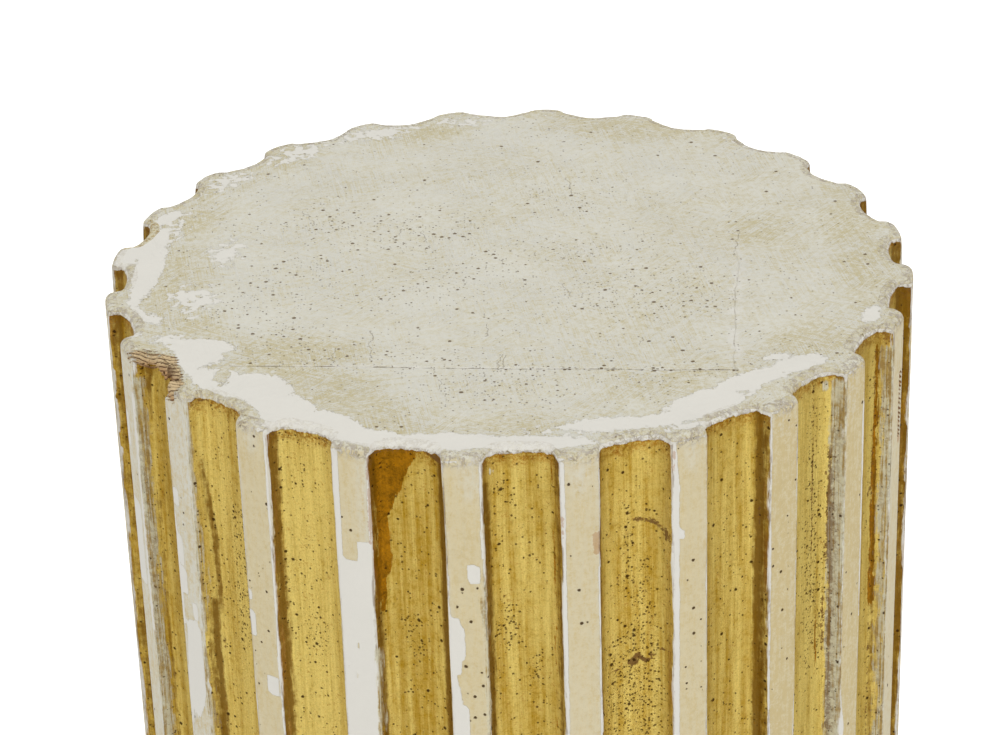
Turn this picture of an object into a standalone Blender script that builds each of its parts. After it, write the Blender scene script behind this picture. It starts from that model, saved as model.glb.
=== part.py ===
"""A fluted column pedestal of painted and gilded wood.

Four pieces: the fluted shaft, the square board let flush into its top, a turned
moulding under the shaft and a square plinth. Metres, +Z up, with the origin at the
centre of the plinth's underside and the centre of one flute on -Y.
"""

import math

import bmesh
import bpy
from mathutils import Matrix, Vector

# Driving dimensions, in metres

SHAFT_RADIUS = 0.170  # to the face of the fillets between the flutes
SHAFT_HEIGHT = 0.895
FLUTE_COUNT = 24
FILLET_WIDTH = 0.0157  # face left standing between two flutes, along the curve
FLUTE_DEPTH = 0.0085
FLUTE_SQUARENESS = 2.5  # 2 cuts an ellipse, a higher power has steeper sides
ARRIS_ROUNDING = 0.0020  # worn edge between a fillet and a flute
RIM_ROUNDING = 0.0030  # worn top edge of the shaft

BOARD_CORNER_WOOD = 0.0257  # wood between the board's corner and the nearest flute
BOARD_THICKNESS = 0.022
BOARD_TURN = math.radians(-5.5)

MOULDING_PROJECTION = 0.026  # how far the torus stands out past the fillets
MOULDING_HEIGHT = 0.045
LISTEL_HEIGHT = 0.010  # flat band above the torus
LISTEL_PROJECTION = 0.004

PLINTH_MARGIN = 0.004  # how far the plinth's sides stand out past the torus
PLINTH_HEIGHT = 0.060
PLINTH_EDGE_ROUNDING = 0.003

CLEARANCE = 0.0003  # gap between pieces that touch

# Fineness of the facets

FLUTE_FACETS = 10
ARRIS_FACETS = 3
RIM_FACETS = 3
TORUS_FACETS = 10
ROUND_FACETS = 96
PLINTH_EDGE_FACETS = 2
SHARP_ANGLE = math.radians(35)

# Places that follow from the sizes

MOULDING_BOTTOM = PLINTH_HEIGHT + CLEARANCE
SHAFT_BOTTOM = MOULDING_BOTTOM + MOULDING_HEIGHT + CLEARANCE
SHAFT_TOP = SHAFT_BOTTOM + SHAFT_HEIGHT
PERIOD = 2 * math.pi * SHAFT_RADIUS / FLUTE_COUNT
HALF_FLUTE = (PERIOD - FILLET_WIDTH) / 2
BOARD_SIDE = math.sqrt(2) * (SHAFT_RADIUS - FLUTE_DEPTH - BOARD_CORNER_WOOD)
MOULDING_RADIUS = SHAFT_RADIUS + MOULDING_PROJECTION
PLINTH_SIDE = 2 * (MOULDING_RADIUS + PLINTH_MARGIN)

# Colours as linear RGB

PUTTY_PAINT = (0.61, 0.55, 0.43)
BARE_GESSO = (0.75, 0.72, 0.64)
WORN_GILDING = (0.42, 0.24, 0.06)


def clear_scene():
    for obj in list(bpy.data.objects):
        bpy.data.objects.remove(obj)


def principled(name, colour, roughness, metallic):
    material = bpy.data.materials.new(name)
    material.use_nodes = True
    shader = material.node_tree.nodes["Principled BSDF"]
    shader.inputs["Base Color"].default_value = (*colour, 1.0)
    shader.inputs["Roughness"].default_value = roughness
    shader.inputs["Metallic"].default_value = metallic
    material.diffuse_color = (*colour, 1.0)
    return material


def object_from(name, bm, *materials):
    """Turns the bmesh into an object in the scene, with its normals facing out."""
    bmesh.ops.recalc_face_normals(bm, faces=bm.faces)
    mesh = bpy.data.meshes.new(name)
    bm.to_mesh(mesh)
    bm.free()
    for material in materials:
        mesh.materials.append(material)
    mesh.shade_smooth()
    mesh.set_sharp_from_angle(angle=SHARP_ANGLE)
    obj = bpy.data.objects.new(name, mesh)
    bpy.context.scene.collection.objects.link(obj)
    return obj


def flute_depth(across):
    """Depth of the cut at a distance across from the flute's centre line, inside its sides."""
    share = min(abs(across) / HALF_FLUTE, 1.0)
    curve = (1 - share**FLUTE_SQUARENESS) ** (1 / FLUTE_SQUARENESS)
    return ARRIS_ROUNDING + (FLUTE_DEPTH - ARRIS_ROUNDING) * curve


def half_section():
    """Half of one period, from the flute's centre line to the middle of the fillet, as (across, depth)."""
    section = []
    for step in range(FLUTE_FACETS // 2 + 1):
        # Even steps of angle crowd the points towards the steep side.
        across = HALF_FLUTE * math.sin(math.pi / 2 * step / (FLUTE_FACETS // 2))
        section.append((across, flute_depth(across)))
    for step in range(1, ARRIS_FACETS + 1):
        turn = math.pi / 2 * step / ARRIS_FACETS
        across = HALF_FLUTE + ARRIS_ROUNDING * (1 - math.cos(turn))
        section.append((across, ARRIS_ROUNDING * (1 - math.sin(turn))))
    section.append((PERIOD / 2, 0.0))
    return section


def shaft_outline():
    """The whole section as (angle from -Y towards +X, radius), with no point twice."""
    half = half_section()
    mirrored = [(-across, depth) for across, depth in reversed(half[1:-1])]
    period = mirrored + half
    outline = []
    for flute in range(FLUTE_COUNT):
        for across, depth in period:
            angle = (flute * PERIOD + across) / SHAFT_RADIUS
            outline.append((angle, SHAFT_RADIUS - depth))
    return outline


def ring_of(bm, outline, height, inset):
    """One row of vertices around the shaft, moved in towards the axis by inset."""
    ring = []
    for angle, radius in outline:
        place = Vector((math.sin(angle), -math.cos(angle), 0.0)) * (radius - inset)
        ring.append(bm.verts.new((place.x, place.y, height)))
    return ring


def bridge(bm, lower, upper):
    faces = []
    for index, corner in enumerate(lower):
        after = (index + 1) % len(lower)
        faces.append(bm.faces.new((corner, lower[after], upper[after], upper[index])))
    return faces


def board_solid(name, side, bottom, top, material):
    """A square block turned as the board is, centred on the axis."""
    bm = bmesh.new()
    bmesh.ops.create_cube(bm, size=1.0)
    middle = Vector((0.0, 0.0, (bottom + top) / 2))
    size = Matrix.Diagonal((side, side, top - bottom, 1.0))
    place = Matrix.Translation(middle) @ Matrix.Rotation(BOARD_TURN, 4, "Z") @ size
    bmesh.ops.transform(bm, matrix=place, verts=bm.verts)
    return object_from(name, bm, material)


def make_shaft(paint, gilding):
    """The fluted shaft, with a worn top edge and a shallow square recess for the board."""
    bm = bmesh.new()
    outline = shaft_outline()
    rows = [ring_of(bm, outline, SHAFT_BOTTOM, 0.0)]
    for step in range(RIM_FACETS + 1):
        turn = math.pi / 2 * step / RIM_FACETS
        inset = RIM_ROUNDING * (1 - math.cos(turn))
        height = SHAFT_TOP - RIM_ROUNDING * (1 - math.sin(turn))
        rows.append(ring_of(bm, outline, height, inset))
    bm.faces.new(rows[0])
    bm.faces.new(rows[-1])
    for lower, upper in zip(rows, rows[1:]):
        bridge(bm, lower, upper)
    shaft = object_from("fluted_shaft", bm, paint, gilding)
    gild_the_flutes(shaft)

    opening = BOARD_SIDE + 2 * CLEARANCE
    floor = SHAFT_TOP - BOARD_THICKNESS - CLEARANCE
    cutter = board_solid("recess_cutter", opening, floor, SHAFT_TOP + BOARD_THICKNESS, paint)
    cutter.hide_render = True
    cutter.display_type = "WIRE"
    cut = shaft.modifiers.new("board recess", "BOOLEAN")
    cut.operation = "DIFFERENCE"
    cut.solver = "EXACT"
    cut.object = cutter
    return shaft


def gild_the_flutes(shaft):
    """Gives the second material to the side faces that lie deeper than the arrises."""
    for face in shaft.data.polygons:
        middle = Vector(face.center)
        deep = math.hypot(middle.x, middle.y) < SHAFT_RADIUS - ARRIS_ROUNDING
        upright = abs(face.normal.z) < math.sin(SHARP_ANGLE)
        face.material_index = 1 if deep and upright else 0


def make_board(paint):
    """The square board, flush with the shaft's top."""
    return board_solid("top_board", BOARD_SIDE, SHAFT_TOP - BOARD_THICKNESS, SHAFT_TOP, paint)


def moulding_profile():
    """The moulding's half section as (radius, height), from the axis at the top to the axis at the bottom."""
    top = MOULDING_BOTTOM + MOULDING_HEIGHT
    listel_radius = SHAFT_RADIUS + LISTEL_PROJECTION
    torus_radius = (MOULDING_HEIGHT - LISTEL_HEIGHT) / 2
    centre_height = MOULDING_BOTTOM + torus_radius
    centre_radius = MOULDING_RADIUS - torus_radius
    profile = [(0.0, top), (listel_radius, top), (listel_radius, top - LISTEL_HEIGHT)]
    for step in range(TORUS_FACETS + 1):
        turn = math.pi * (0.5 - step / TORUS_FACETS)
        radius = centre_radius + torus_radius * math.cos(turn)
        profile.append((radius, centre_height + torus_radius * math.sin(turn)))
    profile.append((0.0, MOULDING_BOTTOM))
    return profile


def make_moulding(gilding):
    """A turned torus with a flat band above it."""
    bm = bmesh.new()
    corners = [bm.verts.new((radius, 0.0, height)) for radius, height in moulding_profile()]
    edges = [bm.edges.new(pair) for pair in zip(corners, corners[1:])]
    bmesh.ops.spin(
        bm,
        geom=corners + edges,
        cent=(0.0, 0.0, 0.0),
        axis=(0.0, 0.0, 1.0),
        angle=2 * math.pi,
        steps=ROUND_FACETS,
        use_merge=True,
    )
    bmesh.ops.remove_doubles(bm, verts=bm.verts, dist=1e-6)
    return object_from("base_moulding", bm, gilding)


def make_plinth(paint):
    """The square block that the column stands on, with its edges worn round."""
    bm = bmesh.new()
    bmesh.ops.create_cube(bm, size=1.0)
    size = Matrix.Diagonal((PLINTH_SIDE, PLINTH_SIDE, PLINTH_HEIGHT, 1.0))
    place = Matrix.Translation((0.0, 0.0, PLINTH_HEIGHT / 2)) @ size
    bmesh.ops.transform(bm, matrix=place, verts=bm.verts)
    bmesh.ops.bevel(
        bm,
        geom=list(bm.edges),
        offset=PLINTH_EDGE_ROUNDING,
        segments=PLINTH_EDGE_FACETS,
        profile=0.5,
        affect="EDGES",
    )
    return object_from("plinth", bm, paint)


def main():
    clear_scene()
    paint = principled("putty paint", PUTTY_PAINT, 0.75, 0.0)
    gesso = principled("bare gesso", BARE_GESSO, 0.85, 0.0)
    gilding = principled("worn gilding", WORN_GILDING, 0.42, 0.8)
    make_shaft(paint, gilding)
    make_board(gesso)
    make_moulding(gilding)
    make_plinth(paint)


main()
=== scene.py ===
"""The looks of a fluted column pedestal: putty paint over white gesso, and worn gilding in the flutes.

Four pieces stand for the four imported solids: the coat of the shaft, the coat of the
top, the turned moulding and the plinth. Sizes are in metres. Wear that belongs to one
place is given in millimetres, counted from the axis on the top, and on the shaft from
the middle of a flute or fillet and from the top down.
"""

import math

import bmesh
import bpy
import numpy as np
from bpy.props import FloatProperty, FloatVectorProperty, IntProperty, PointerProperty
from mathutils import Matrix, Vector


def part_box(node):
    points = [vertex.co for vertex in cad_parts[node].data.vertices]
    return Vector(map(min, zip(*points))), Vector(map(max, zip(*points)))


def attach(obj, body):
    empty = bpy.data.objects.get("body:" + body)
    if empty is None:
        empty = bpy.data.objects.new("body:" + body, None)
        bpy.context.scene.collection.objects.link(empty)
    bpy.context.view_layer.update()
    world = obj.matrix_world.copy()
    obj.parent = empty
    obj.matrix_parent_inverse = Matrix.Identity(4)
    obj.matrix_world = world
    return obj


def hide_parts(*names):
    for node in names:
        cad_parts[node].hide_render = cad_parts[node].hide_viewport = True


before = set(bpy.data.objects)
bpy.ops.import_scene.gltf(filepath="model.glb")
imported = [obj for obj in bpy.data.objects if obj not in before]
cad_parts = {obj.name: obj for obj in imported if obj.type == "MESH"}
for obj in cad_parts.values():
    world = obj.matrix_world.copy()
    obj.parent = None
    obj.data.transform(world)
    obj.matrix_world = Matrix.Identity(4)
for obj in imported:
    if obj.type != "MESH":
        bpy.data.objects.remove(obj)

bl_info = {
    "name": "Fluted column pedestal",
    "version": (1, 0, 0),
    "blender": (4, 5, 0),
    "location": "3D View > Sidebar > Pedestal",
    "description": "Worn painted and gilded surfaces for a fluted column pedestal",
    "category": "Object",
}

SHAFT_LOW, SHAFT_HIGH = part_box("fluted_shaft")
BOARD_LOW, BOARD_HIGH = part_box("top_board")
MOULDING_LOW, MOULDING_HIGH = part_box("base_moulding")
PLINTH_LOW, PLINTH_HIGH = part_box("plinth")
BODY = "root"
MM = 0.001
SEED = 7
SHARP_FOLD = math.radians(60)  # steeper folds of a mesh keep a hard edge
FIELD_REACH = 8  # fields run from this many mm inside a place to as many outside it
FAR_OUTSIDE = -1e3  # stands for a place that no mark is near
SEEN_PLACES = range(-5, 5)  # flutes and fillets that the view shows, counted from the front
SEEN_DROP = 135  # and how far down it shows them, in mm
PAINT_SHEEN = 0.12  # specular level of the moulding and the plinth
TOP_SHEEN = 0.24
SHAFT_SHEEN = 0.04

# The board in the top, as the solids have it
BOARD_TURN = math.radians(-5.5)
BOARD_SIDE = (BOARD_HIGH.x - BOARD_LOW.x) / (math.cos(BOARD_TURN) - math.sin(BOARD_TURN))

# Where gesso lies bare on the top: x, y, half length and half width in mm, and turn in degrees
TOP_BARE = (
    (-152, 10, 38, 6, 85), (-158, 30, 22, 6, 70), (-150, -36, 12, 3.5, -60), (-155, -27, 9, 3, -70),
    (-126, -68, 14, 7, -10), (-127, -82, 10, 16, -10), (-118, -98, 12, 10, -40),
    (-104, -108, 17, 15, -20), (-93, -124, 18, 13, -40), (-74, -138, 18, 10, -35),
    (-55, -150, 16, 7, -20), (-30, -155, 26, 7, -3), (5, -158, 26, 5, -3), (-139, -62, 7, 3, -10),
    (36, -146, 20, 6, 3), (56, -143, 16, 5, 12), (74, -130, 20, 9, 30), (92, -116, 18, 9, 32),
    (112, -101, 12, 6, 25), (146, -60, 9, 3.5, 70), (66, -149, 12, 2, 20), (-148, 58, 10, 4, 50),
    (-155, -55, 4, 2, 0), (104, -95, 6, 3, 0),
)
# Where paint is left standing inside those places, and on the rim
TOP_KEPT = (
    (-108, -86, 16, 4, -2), (-116, -93, 3, 8, 0), (-121, -112, 13, 5, -42), (-108, -122, 12, 5, -55),
    (-102, -131, 6, 3, -55), (-133, -92, 3, 12, 20), (20, -151, 4, 2.5, 0), (-150, -30, 3, 7, 20),
    (102, -121, 12, 6, 45), (88, -123, 3, 2, 0), (-131, -101, 6, 3, -20), (-126, -114, 14, 3, -42),
    (-109, -131, 9, 3, -48), (33, -153, 10, 2, 8), (29, -167, 6, 3, 8), (-20, -168, 4, 2, -6),
    (74, -151, 5, 2.5, 27), (112, -127, 8, 3, 40), (-63, -157, 5, 2, -22), (136, -98, 7, 3, 52),
)
# Where paint has flaked off in bits
TOP_FLAKED = (
    (-131, -24, 12, 18, 0), (-148, 40, 9, 30, -20), (-122, 96, 20, 9, 50), (-92, 124, 22, 10, 36),
    (-58, 144, 24, 10, 18), (-18, 154, 22, 7, 3), (-120, 20, 10, 16, 0), (40, 158, 20, 4, -12),
    (112, 116, 14, 4, -44), (152, 60, 4, 16, 20), (-140, -58, 8, 6, 0), (30, -148, 30, 7, 4),
)
# Deeper tan stains on the top, in the same terms
TOP_STAINED = (
    (-140, -10, 36, 11, 88), (-134, -50, 24, 13, -60), (-138, 55, 26, 10, 75), (-128, 92, 24, 9, 50),
    (-100, 122, 16, 10, 40), (-90, -78, 26, 14, 0), (-78, -108, 26, 16, -40), (-55, -130, 20, 10, -30),
    (-15, -146, 30, 5, -3), (60, -112, 24, 8, 20), (109, 24, 12, 14, 0), (118, -82, 20, 14, 50),
    (-40, 146, 20, 12, 10), (150, 10, 12, 50, 0), (118, -118, 12, 9, 45), (60, 140, 30, 10, -15),
)
# Clusters of wormholes and pits on the top
TOP_SPECKLED = (
    (-38, 36, 34, 20, 20), (-28, -18, 34, 16, 20), (-46, -88, 36, 12, -8), (-106, -36, 20, 26, 40),
    (22, 8, 40, 14, 0), (70, -106, 30, 8, 0), (-10, -112, 30, 20, 0), (-88, -10, 16, 26, 0),
    (-76, 52, 16, 16, 0), (30, 62, 20, 16, 0), (-88, -76, 20, 12, 0), (60, -32, 40, 24, 0),
)
# Bare gesso on the fillets: fillet counted from the one right of the front flute, middle across
# and down, half width and half height in mm
FILLET_BARE = (
    (-1, 3.2, 51.2, 2.5, 4.3), (-1, -5.4, 76, 2.6, 5.0), (-1, -4.2, 83, 3.0, 7), (-1, -5.0, 92, 2.2, 5),
    (-1, -6.0, 98, 1.2, 5), (-1, -5.0, 108, 1.6, 6), (-1, -3.6, 119, 3.0, 8), (-2, 0.4, 96, 7.2, 46),
    (-2, 4.6, 50, 3.0, 9.0), (1, -3.6, 43, 1.4, 1.8), (-3, 2.8, 119, 3.0, 4.5),
    (-3, -7.0, 79, 2.0, 2.6), (-3, -6.6, 92, 2.6, 6), (-4, -5.0, 51, 2.2, 4), (-4, -4.4, 76, 1.8, 7),
    (-4, -4.0, 90, 2.6, 6), (-4, 2.8, 102, 1.8, 4), (-5, -3.0, 92, 5, 20), (-5, -5.0, 40, 2, 8),
)
# Bits of paint left standing inside those places
FILLET_KEPT = ((-2, -0.2, 89, 0.7, 1.8), (-2, -1.0, 103.5, 0.7, 2.2), (-2, -4.4, 99.6, 0.8, 0.5))
# Strokes of wear, each as flute or fillet, then across, down and half width at its start, and the
# same at its end, in mm. Here gesso shows beside the arrises, on the fillets.
FILLET_BARE_STROKES = (
    (-2, -6.2, 0, 1.6, -6.0, 60, 1.3), (-1, -7.2, 60, 0.4, -6.9, 130, 1.6),
    (1, -7.0, 0, 0.8, -6.2, 24, 1.9), (1, -6.2, 24, 1.6, -6.4, 150, 1.5),
    (0, -6.9, 4, 1.2, -6.9, 900, 1.2), (0, 7.3, 50, 0.6, 7.4, 900, 0.5),
    (-3, 7.2, 0, 0.8, 7.2, 900, 0.6), (2, -7.2, 0, 0.7, -7.2, 60, 0.5),
    (3, 6.6, 20, 0.8, 7.0, 120, 0.6), (-4, 0.6, 112, 5.0, -1.0, 150, 7.0),
    (-1, 7.2, 0, 0.7, 7.2, 44, 0.9), (-4, -7.0, 60, 0.8, -7.0, 110, 1.8),
    (-5, 5.5, 20, 1.6, 6.0, 130, 1.8), (2, -7.0, 60, 0.5, -7.0, 900, 0.4),
    (3, -7.2, 0, 0.6, -7.2, 900, 0.5),
)
# Paler stretches of paint on the fillets
FILLET_PALE = (
    (-3, 0, 0, 6, 0, 10, 3), (0, 0, 0, 7, 0, 16, 2), (-1, 2, 0, 6, 3, 16, 3), (2, 0, 0, 5, 0, 12, 2),
    (-2, 5.0, 5, 2.5, 5.0, 40, 2), (1, 2, 0, 5, 0, 14, 2), (3, -3, 0, 4, -3, 20, 3),
)
# How pale each seen fillet is, from the fifth to the left of the one right of the front flute, and
# below zero how deeply stained
FILLET_TONES = (0.85, 0.90, 0.05, 0.10, 0.0, 0.14, 0.05, -0.75, -0.70, 0.30)
# Red-brown ground that shows on the fillets
FILLET_BOLE = (
    (0, 6.3, 36, 1.5, 6.4, 44, 1.5), (0, -6.9, 27, 0.3, -6.9, 37, 0.3),
    (1, -6.9, 5, 0.3, -6.9, 15, 0.3), (-2, 7.3, 4, 0.4, 7.3, 42, 0.3), (4, 4.0, 26, 1.5, 4.0, 58, 2.0),
)
# Thick old varnish in the flutes
FLUTE_AMBER = (
    (-1, -7.0, 2, 9.4, -10.5, 30, 1.8), (-1, -12.0, 6, 2.4, -11.6, 56, 2.2),
    (-1, -13.0, 50, 2.0, -13.2, 74, 0.8), (-4, 2, 78, 0.8, 3, 92, 1.4),
    (4, 12.2, 8, 0.6, 11.8, 130, 1.3), (-1, 0, 5, 2.4, -3, 12, 2.0), (3, -6, 4, -0.5, -6, 140, 0.1),
    (3, 9, 16, -0.5, 8, 140, 0.3), (4, 3, 4, -0.3, 3, 140, 0.2), (0, 12.4, 5, 0.1, 12.4, 900, 0.2),
    (-4, 2, 6, 0.0, 4, 70, 0.5), (-4, 8, 20, -0.3, 8, 140, 0.3),
)
# Dark gilding on the steep walls of the flutes: partly tarnish where nobody rubbed, partly painted shade in
# the hollows
FLUTE_SHADE = (
    (0, -13.9, 14, 1.2, -13.5, 900, 1.9), (-1, -14.2, 0, 0.8, -13.8, 900, 1.3),
    (-1, 12.8, 0, 1.4, 12.8, 900, 1.7), (-2, -14.2, 0, 1.2, -14.2, 900, 1.5),
    (1, -14.2, 0, 0.7, -14.2, 900, 0.8), (0, -8.5, 62, 0.3, -8.5, 62, 0.3),
    (2, 13.3, 0, 1.3, 13.1, 40, 1.5), (2, 13.1, 40, 1.5, 13.2, 900, 1.6),
    (2, -13.7, 50, 0.6, -13.4, 130, 1.0), (3, -13.9, 0, 1.1, -13.9, 900, 0.5),
    (4, 12.6, 0, 0.5, 12.4, 900, 0.8), (-3, -13.2, 30, 0.5, -11.0, 62, 1.2),
    (-3, -11.0, 62, 1.2, -10.4, 100, 1.3), (-3, -12.4, 96, 1.4, -12.8, 900, 1.6),
    (-5, -12.8, 0, 1.2, -12.8, 900, 1.2), (5, 12.0, 0, 2.0, 12.0, 900, 2.0),
    (-4, -12.4, 2, 1.8, -12.6, 30, 0.4), (-4, 9.8, 60, 0.8, 10.4, 120, 1.2),
    (-4, -12.6, 60, 0.4, -12.4, 900, 0.8), (0, 14.0, 0, 0.5, 14.0, 900, 0.6),
)
# How light each seen flute is, from the fifth to the left of the front one to the fourth to the right
FLUTE_TONES = (-0.10, -0.02, 0.22, 0.30, 0.0, 0.08, 0.06, 0.06, 0.28, 0.14)
# Brown scuffs and cracks in the flutes
FLUTE_GRIME = (
    (1, 1.8, 36.5, 0.8, 8.0, 38.0, 1.2), (1, 8.0, 38.0, 1.2, 13.0, 41.0, 0.9),
    (1, 13.2, 41, 0.8, 14.0, 48, 0.5), (1, -0.5, 102, 1.9, 2.6, 99, 2.0),
    (1, 5.0, 101.5, 1.4, 8.5, 100.0, 1.5), (1, 10.0, 98.5, 1.0, 14, 96, 0.8),
    (1, -8.0, 104.5, 0.8, -5.5, 103.5, 0.9), (3, 4.1, 2, 0.6, 4.6, 22, 0.6),
    (3, 4.6, 22, 0.5, 5.6, 130, 0.45), (3, 2.0, 50.5, 0.2, 13, 49, 0.5),
    (3, 12.8, 34, 0.7, 12.9, 88, 0.9), (3, 13.4, 62, 0.7, 13.4, 900, 0.8),
    (3, 10.8, 78, 0.5, 11.0, 130, 1.0), (3, 10.4, 46, 0.4, 12, 47, 0.9),
    (-2, -4.6, 51, 0.3, -0.8, 51.5, 0.5), (-3, -7, 3, 0.4, -8, 16, 0.3), (-4, 3, 84, 1.0, 4, 92, 0.7),
    (-3, -2.5, 3, 0.4, -3, 22, 0.3), (-3, 2.0, 3, 0.4, 1.0, 18, 0.3), (-3, 6, 4, 0.4, 6.2, 22, 0.4),
    (-1, 7.0, 3.2, 0.8, 13.0, 5.0, 1.6), (-1, -14, 3.6, 0.6, 4, 3.0, 0.5),
    (4, 11.2, 10, 0.3, 11.3, 900, 0.6), (4, 8.6, 44, 0.2, 9.4, 78, 0.7),
    (2, 8.0, 26, 0.2, 9.6, 27, 0.3), (-4, -10.5, 62, 0.6, -10, 70, 0.8),
    (-3, -13, 4, 0.8, -9, 3.0, 0.5), (2, 13.2, 42, 0.3, 13.4, 54, 0.3),
    (-3, -10.6, 96, 0.3, -10, 118, 0.5), (-2, 4, 3.4, 0.4, 10, 4.4, 0.5),
    (3, -4, 3.0, 0.3, 4, 3.0, 0.5), (2, 9.5, 50, 0.3, 12.5, 49, 0.3),
)
# Pale dusty ground along some arrises, where the gilding is lost
FLUTE_DUST = (
    (3, 14.1, 6, 1.5, 14.0, 900, 1.8), (-4, -14.8, 12, 1.0, -14.4, 900, 1.5),
    (0, -15.2, 30, 0.3, -15.2, 130, 0.7), (-1, -15.0, 90, 0.6, -15.2, 130, 0.8),
    (-3, -15.2, 4, 0.5, -15.0, 900, 0.7), (0, -16.0, 64, 0.6, -15.6, 70, 0.7),
    (3, 10.6, 6.5, 1.3, 10.6, 8.0, 1.3), (0, -11.4, 9.0, 0.9, -11.4, 9.6, 0.9),
    (4, 14.6, 10, 0.9, 14.6, 900, 0.9), (-7, 0, 0, 16, 0, 2, 10), (-4, -16, 54, 0.7, -15, 60, 1.0),
)
# Where wormholes and specks crowd
FLUTE_SPECKLED = (
    (1, 0, 98, 12, 0, 130, 13), (1, 5, 56, 3, 5, 84, 5), (1, -1, 30, 2, -1, 66, 4),
    (0, -6, 74, 5, -6, 84, 5), (3, 4.6, 20, 3, 4.6, 130, 6), (-1, -3, 80, 4, 0, 92, 5),
    (-2, -2, 90, 5, -2, 96, 5), (0, 4, 96, 3, 4, 104, 3), (-2, -10, 6, 3, -2, 6, 3),
    (0, -9, 16, 2, -5, 24, 3), (2, 8, 26, 2, 8, 28, 2), (-3, 4, 50, 4, 2, 110, 4),
)
FILLET_SPECKLED = (
    (-1, 1, 50, 5, 2, 120, 6), (1, 1, 54, 3, 0, 74, 4), (1, -3, 84, 3, 1, 94, 3),
    (1, 2, 110, 3, 4, 122, 3), (-2, 2, 34, 3, 3, 38, 2), (0, 0, 74, 2, 0, 84, 2),
    (-3, 0, 60, 4, 0, 120, 4), (2, 0, 50, 3, 0, 120, 3),
)
# Where wood has torn away: on the top and rim in the terms of the top, and on the fillets as boxes
RIM_TORN = (
    (-148.0, -71.5, 9.0, 2.4, -22), (-140, -77.5, 6.0, 4.6, -35), (-135.6, -90, 13, 3.4, -80),
)
TORN_CHIP = ((-140.2, -82.5, 1.5, 1.2, -30), (-137.0, -93.0, 0.9, 0.6, 10))  # gesso left in it
FIBRE_TURN = math.radians(-22)  # of its fibres, seen from above
FILLET_TORN = ((-4, -4.6, 1, 4.2, 6), (4, 4.5, 42, 2.0, 15), (5, -3, 20, 3, 9), (-6, 3, 70, 2, 12))
# Hairline cracks on the top, from one place to another in mm
TOP_HAIRLINES = (
    ((-57, -60), (-57.5, -86)), ((-72, -74), (-72, -86)), ((-36, 36), (-36, 24)), ((28, 86), (30, 68)),
    ((52, -74), (51, -81)), ((-10, -56), (-11, -68)), ((-5, -85), (-7, -97)), ((-3, -86), (-6, -97)),
    ((96, 0), (99, 22)), ((-88, 60), (-84, 46)), ((20, -20), (26, -34)), ((-30, -112), (-30, -104)),
)
# Low pale ridges of filler on the top, in the same terms
TOP_RIDGES = (((-12, 2), (38, -5)), ((38, -5), (93, -7)), ((20, 30), (24, 0)), ((30, 30), (33, 0)))


def length_property(name, description, metres):
    return FloatProperty(name=name, description=description, default=metres, unit="LENGTH")


class PedestalSizes(bpy.types.PropertyGroup):
    """Sizes of the surfaces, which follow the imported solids."""

    shaft_radius: length_property("Shaft radius", "To the face of the fillets", 0.170)
    flute_count: IntProperty(name="Flutes", description="Number of flutes around the shaft", default=24)
    fillet_width: length_property("Fillet width", "Face between two flutes", 0.0157)
    flute_depth: length_property("Flute depth", "Deepest cut of a flute", 0.0085)
    flute_squareness: FloatProperty(
        name="Flute squareness", description="2 is an ellipse, more has steeper sides", default=2.5
    )
    arris_rounding: length_property("Arris rounding", "Worn edge of a fillet", 0.0012)
    arris_softening: length_property("Arris softening", "Further wear of a fillet's edge at the rim", 0.0006)
    rim_rounding: length_property("Rim rounding", "Worn edge of the top", 0.0030)
    torus_height: length_property("Torus height", "Height of the round part of the moulding", 0.035)
    listel_projection: length_property("Listel projection", "How far the flat band stands out", 0.004)
    plinth_edge: length_property("Plinth edge", "Worn rounding of the plinth's edges", 0.003)


def from_screen(red, green, blue):
    """A colour as it looks on a screen, from 0 to 255, as the linear values that a shader takes."""
    shares = [channel / 255 for channel in (red, green, blue)]
    return tuple(s / 12.92 if s <= 0.04045 else ((s + 0.055) / 1.055) ** 2.4 for s in shares)


def colour_property(name, description, red, green, blue):
    return FloatVectorProperty(
        name=name,
        description=description,
        subtype="COLOR",
        size=3,
        min=0.0,
        max=1.0,
        default=from_screen(red, green, blue),
    )


class PedestalColours(bpy.types.PropertyGroup):
    """Colours of the finishes."""

    top_putty: colour_property("Top putty", "Paint on the top", 216, 214, 202)
    side_putty: colour_property("Side putty", "Paint on the fillets", 213, 200, 164)
    tan: colour_property("Tan", "Deeper stains in the paint of the top", 192, 181, 142)
    ochre: colour_property("Ochre", "Deeper stains in the paint of the fillets", 201, 183, 138)
    gesso: colour_property("Gesso", "Bare white ground", 222, 219, 210)
    gold: colour_property("Gold", "Gilding in good state", 218, 195, 110)
    old_gold: colour_property("Old gold", "Gilding in the shade and between the streaks", 162, 124, 18)
    amber: colour_property("Amber", "Thick old varnish on the gilding", 148, 98, 0)
    # Shade stands partly for tarnish on the flutes' walls and partly for painted shade there
    shade: colour_property("Shade", "Gilding on the flutes' walls", 112, 76, 6)
    grime: colour_property("Grime", "Brown dirt and scuffs", 112, 80, 44)
    dust: colour_property("Dust", "Pale dusty ground along the arrises", 212, 207, 180)
    bole: colour_property("Bole", "Red-brown ground under the gilding", 172, 116, 62)
    wood: colour_property("Wood", "Torn wood", 210, 186, 146)
    fibre: colour_property("Fibre", "Gaps between the fibres of torn wood", 84, 48, 22)
    hole: colour_property("Hole", "Wormholes in the flutes and fillets", 62, 36, 0)
    pinhole: colour_property("Pinhole", "Wormholes in the top", 96, 70, 22)


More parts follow.
